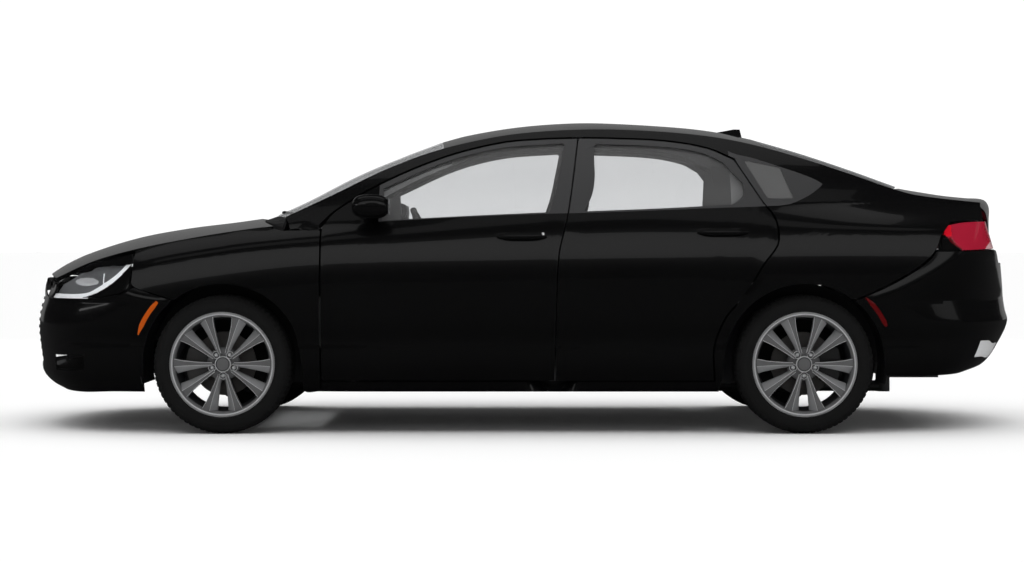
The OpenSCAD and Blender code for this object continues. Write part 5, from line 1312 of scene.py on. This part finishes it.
seat_set("front_seat", FRONT_SEAT_X,
         [("%s_%s" % (part, side), profile, sign * FRONT_SEAT_Y, width, crown, channels)
          for side, sign in SIDES for part, profile, width, crown, channels in FRONT_PADS], ["front_seats"])
seat_set("rear_seat", REAR_SEAT_X,
         [("cushion", REAR_CUSHION, 0, 1180, 2, 9), ("backrest", REAR_BACK, 0, 1180, 2, 11),
          ("left_headrest", REAR_REST, -REAR_REST_Y, 256, 3, 3), ("right_headrest", REAR_REST, REAR_REST_Y, 256, 3, 3)],
         ["rear_seat"])
posts = Build()
turn = np.linspace(0, 2 * np.pi, REST_POST_TURNS + 1)[:-1]
for x, y, z in ((FRONT_SEAT_X + 735, FRONT_SEAT_Y, 950), (REAR_SEAT_X + 392, REAR_REST_Y, 975)):
    for middle in [sign * y + off for _, sign in SIDES for off in (-REST_POST_OFF, REST_POST_OFF)]:
        posts.add([(x + dx + REST_POST_R * math.cos(q), middle + REST_POST_R * math.sin(q), z + dz)
                   for dx, dz in ((0, -30), (14, 40)) for q in turn], sleeve(2, REST_POST_TURNS))
posts.make("headrest_posts", CAR, CHROME, "steel")


# Dashboard with a hooded top, vents and a dark screen, and the steering wheel
DASH_X, DASH_HALF, DASH_COLS, DRIVER_Y = -997.5, 721, 73, -370
STEER_X, STEER_Z, STEER_R, STEER_LEAN = DASH_X + 520, 905, 170, math.radians(66)
STEER_SPOKE = ((40, 26, -12, 6), (80, 20, -10, 5), (130, 16, -9, 4), (162, 20, -8, 5))
STEER_BOSS = [(0.01, 13), (30, 12.4), (50, 9), (61, 2), (62, -16), (58, -29), (26, -30), (26, -118), (0.01, -118)]


def dash_pad():
    x, m = DASH_X, DASH_COLS
    profile = [[x, 640], [x, 956], [x + 60, 976], [x + 130, 984], [x + 220, 983], [x + 300, 974], [x + 360, 950],
               [x + 396, 918], [x + 399, 880], [x + 396, 842], [x + 360, 765], [x + 328, 702], [x + 270, 660],
               [x + 200, 640]]
    fine = refine(np.vstack([profile, profile[:1]]), 6)[:-1]
    ys = np.linspace(-DASH_HALF, DASH_HALF, m)
    c = fine.mean(0)
    b = Build()
    for y in ys:
        hood = 10 * math.exp(-((y - DRIVER_Y) / 170) ** 2)
        scale = 1 - 0.004 * (abs(y) > 705)
        for px, pz in fine:
            top = max(0.0, min(1.0, (pz - 940) / 30))
            b.verts.append((c[0] + (px - c[0]) * scale, y, c[1] + (pz - c[1]) * scale + hood * top))
    b.faces = sleeve(m, len(fine))
    for y in (ys[:-1] + ys[1:]) / 2:
        screen = abs(y) < 150 or abs(y - DRIVER_Y) < 150
        vent = abs(abs(y) - 560) < 70
        for px, pz in fine:
            front = px > x + 380 and 845 < pz < 915
            b.part.append(1 if front and screen else 2 if front and vent else 0)
    b.part += [0, 0]
    b.make("dash_pad", CAR, [PLASTIC, PIANO, SATIN], "trim", replaces=["dashboard"], angle=40)


def steering():
    b = Build()
    ring_n, tube_n = 96, 20
    a = np.linspace(0, 2 * np.pi, ring_n, endpoint=False)
    q = np.linspace(0, 2 * np.pi, tube_n, endpoint=False)
    grip = 15 + 1.2 * np.cos(8 * a)
    for k in range(ring_n):
        after = (k + 1) % ring_n
        for i in range(tube_n):
            j = (i + 1) % tube_n
            r = STEER_R + grip[k] * math.cos(q[i])
            b.verts.append((r * math.cos(a[k]), r * math.sin(a[k]), grip[k] * math.sin(q[i])))
            b.faces.append((k * tube_n + i, after * tube_n + i, after * tube_n + j, k * tube_n + j))
            b.part.append(0)
    for angle in (90, 210, 330):
        c, s = math.cos(math.radians(angle)), math.sin(math.radians(angle))
        v = []
        for r, h, w0, w1 in STEER_SPOKE:
            left, right = (r * c - h * s, r * s + h * c), (r * c + h * s, r * s - h * c)
            v += [(*left, w0), (*right, w0), (*right, w1), (*left, w1)]
        b.add(v, sleeve(len(STEER_SPOKE), 4), 1)
    turned(b, STEER_BOSS, 64, [0], closed=False)
    c, s = math.cos(STEER_LEAN), math.sin(STEER_LEAN)
    b.verts = [(STEER_X + x * c + w * s, DRIVER_Y + y, STEER_Z - x * s + w * c) for x, y, w in b.verts]
    b.make("steering_wheel_rim", CAR, [HIDE, SATIN], "trim", replaces=["steering_wheel"], angle=40)


dash_pad()
steering()


# Every solid that shows as it is gets its finish
NODE_FINISH = {"floor_pan": CHASSIS, "grille": PLASTIC, "cowl": PLASTIC, "fog_lamps": CLEAR, "wheel_liners": PLASTIC,
               "engine_block": BLOCK, "front_subframe": CHASSIS, "rear_subframe": CHASSIS, "exhaust": STEEL,
               "wipers": PLASTIC, "antenna_fin": PAINT, "knuckle_left": CAST, "knuckle_right": CAST}
for node, finish_of in NODE_FINISH.items():
    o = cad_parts[node]
    o.data.materials.clear()
    o.data.materials.append(finish_of)


# Floor, light and camera
def area_light(name, place, aim, size, power):
    d = bpy.data.lights.new(name, "AREA")
    d.shape, d.size, d.size_y, d.energy = "RECTANGLE", size[0], size[1], power
    o = bpy.data.objects.new(name, d)
    bpy.context.scene.collection.objects.link(o)
    o.location = place
    o.rotation_euler = (Vector(aim) - Vector(place)).to_track_quat("-Z", "Y").to_euler()


def studio_floor(n=400.0):
    mesh = bpy.data.meshes.new("studio_floor")
    mesh.from_pydata([(-n, -n, 0), (n, -n, 0), (n, n, 0), (-n, n, 0)], [], [(0, 1, 2, 3)])
    o = bpy.data.objects.new("studio_floor", mesh)
    bpy.context.scene.collection.objects.link(o)
    m, t = new_material("pale_floor")
    b = t.nodes["Principled BSDF"]
    b.inputs["Base Color"].default_value = (0.95, 0.95, 0.95, 1)
    b.inputs["Roughness"].default_value = 0.9
    b.inputs["Specular IOR Level"].default_value = 0.0
    # Glossy rays see the floor near black: painted shade in the car's reflections of the floor
    dark = t.nodes.new("ShaderNodeBsdfDiffuse")
    dark.inputs["Color"].default_value = (0.02, 0.02, 0.02, 1)
    path, mix = t.nodes.new("ShaderNodeLightPath"), t.nodes.new("ShaderNodeMixShader")
    t.links.new(path.outputs["Is Glossy Ray"], mix.inputs["Fac"])
    t.links.new(b.outputs["BSDF"], mix.inputs[1])
    t.links.new(dark.outputs["BSDF"], mix.inputs[2])
    t.links.new(mix.outputs["Shader"], t.nodes["Material Output"].inputs["Surface"])
    mesh.materials.append(m)


def studio_world():
    w = bpy.data.worlds.new("studio")
    bpy.context.scene.world = w
    w.use_nodes = True
    t = w.node_tree
    back = t.nodes["Background"]
    back.inputs["Color"].default_value = (1, 1, 1, 1)
    back.inputs["Strength"].default_value = 1.08
    dim = t.nodes.new("ShaderNodeBackground")
    dim.inputs["Color"].default_value = (1, 1, 1, 1)
    dim.inputs["Strength"].default_value = 0.004
    overhead, sky = t.nodes.new("ShaderNodeTexCoord"), t.nodes.new("ShaderNodeSeparateXYZ")
    climb, soft = t.nodes.new("ShaderNodeMapRange"), t.nodes.new("ShaderNodeBackground")
    climb.inputs["From Min"].default_value, climb.inputs["From Max"].default_value = 0.55, 1.0
    climb.inputs["To Min"].default_value, climb.inputs["To Max"].default_value = 0.0, 3.1
    t.links.new(overhead.outputs["Generated"], sky.inputs[0])
    t.links.new(sky.outputs["Z"], climb.inputs["Value"])
    t.links.new(climb.outputs["Result"], soft.inputs["Strength"])
    path = t.nodes.new("ShaderNodeLightPath")
    mix, spread_light = t.nodes.new("ShaderNodeMixShader"), t.nodes.new("ShaderNodeMixShader")
    t.links.new(path.outputs["Is Diffuse Ray"], spread_light.inputs["Fac"])
    t.links.new(back.outputs["Background"], spread_light.inputs[1])
    t.links.new(soft.outputs["Background"], spread_light.inputs[2])
    t.links.new(path.outputs["Is Glossy Ray"], mix.inputs["Fac"])
    t.links.new(spread_light.outputs["Shader"], mix.inputs[1])
    t.links.new(dim.outputs["Background"], mix.inputs[2])
    t.links.new(mix.outputs["Shader"], t.nodes["World Output"].inputs["Surface"])


studio_floor()
studio_world()
bpy.context.scene.view_settings.view_transform = "Standard"
area_light("side_softbox", (0, -8.0, 3.25), (0, 0, 1.2), (18, 2.0), 34)
area_light("high_softbox", (0, -6.0, 8.5), (0, 0, 0.8), (14, 3), 12)
area_light("top_softbox", (-1, 0, 7.5), (-1, 0, 0), (10, 4), 20)
area_light("back_softbox", (0, 9.0, 2.6), (0, 0, 1.0), (20, 4.5), 45)
area_light("front_softbox", (-9, -4, 2.2), (-2, 0, 0.6), (5, 0.3), 5)
area_light("rear_softbox", (9, -4, 2.2), (2.2, 0, 0.6), (3, 2), 3)

LENS, SENSOR, CAMERA_AT = 75.2, 36.0, (-0.0515, -10.965, 0.875)
HORIZON_ROW, MIDDLE_ROW, AIM_COL, MIDDLE_COL, PICTURE_W = 248.0, 281.0, 513.5, 512.0, 1024.0
camera = bpy.data.objects.new("camera", bpy.data.cameras.new("camera"))
bpy.context.scene.collection.objects.link(camera)
camera.data.lens, camera.data.sensor_width = LENS, SENSOR
camera.location = CAMERA_AT
camera.rotation_euler = (math.pi / 2, 0, 0)
camera.data.shift_y = -(MIDDLE_ROW - HORIZON_ROW) / PICTURE_W
camera.data.shift_x = (MIDDLE_COL - AIM_COL) / PICTURE_W
bpy.context.scene.camera = camera
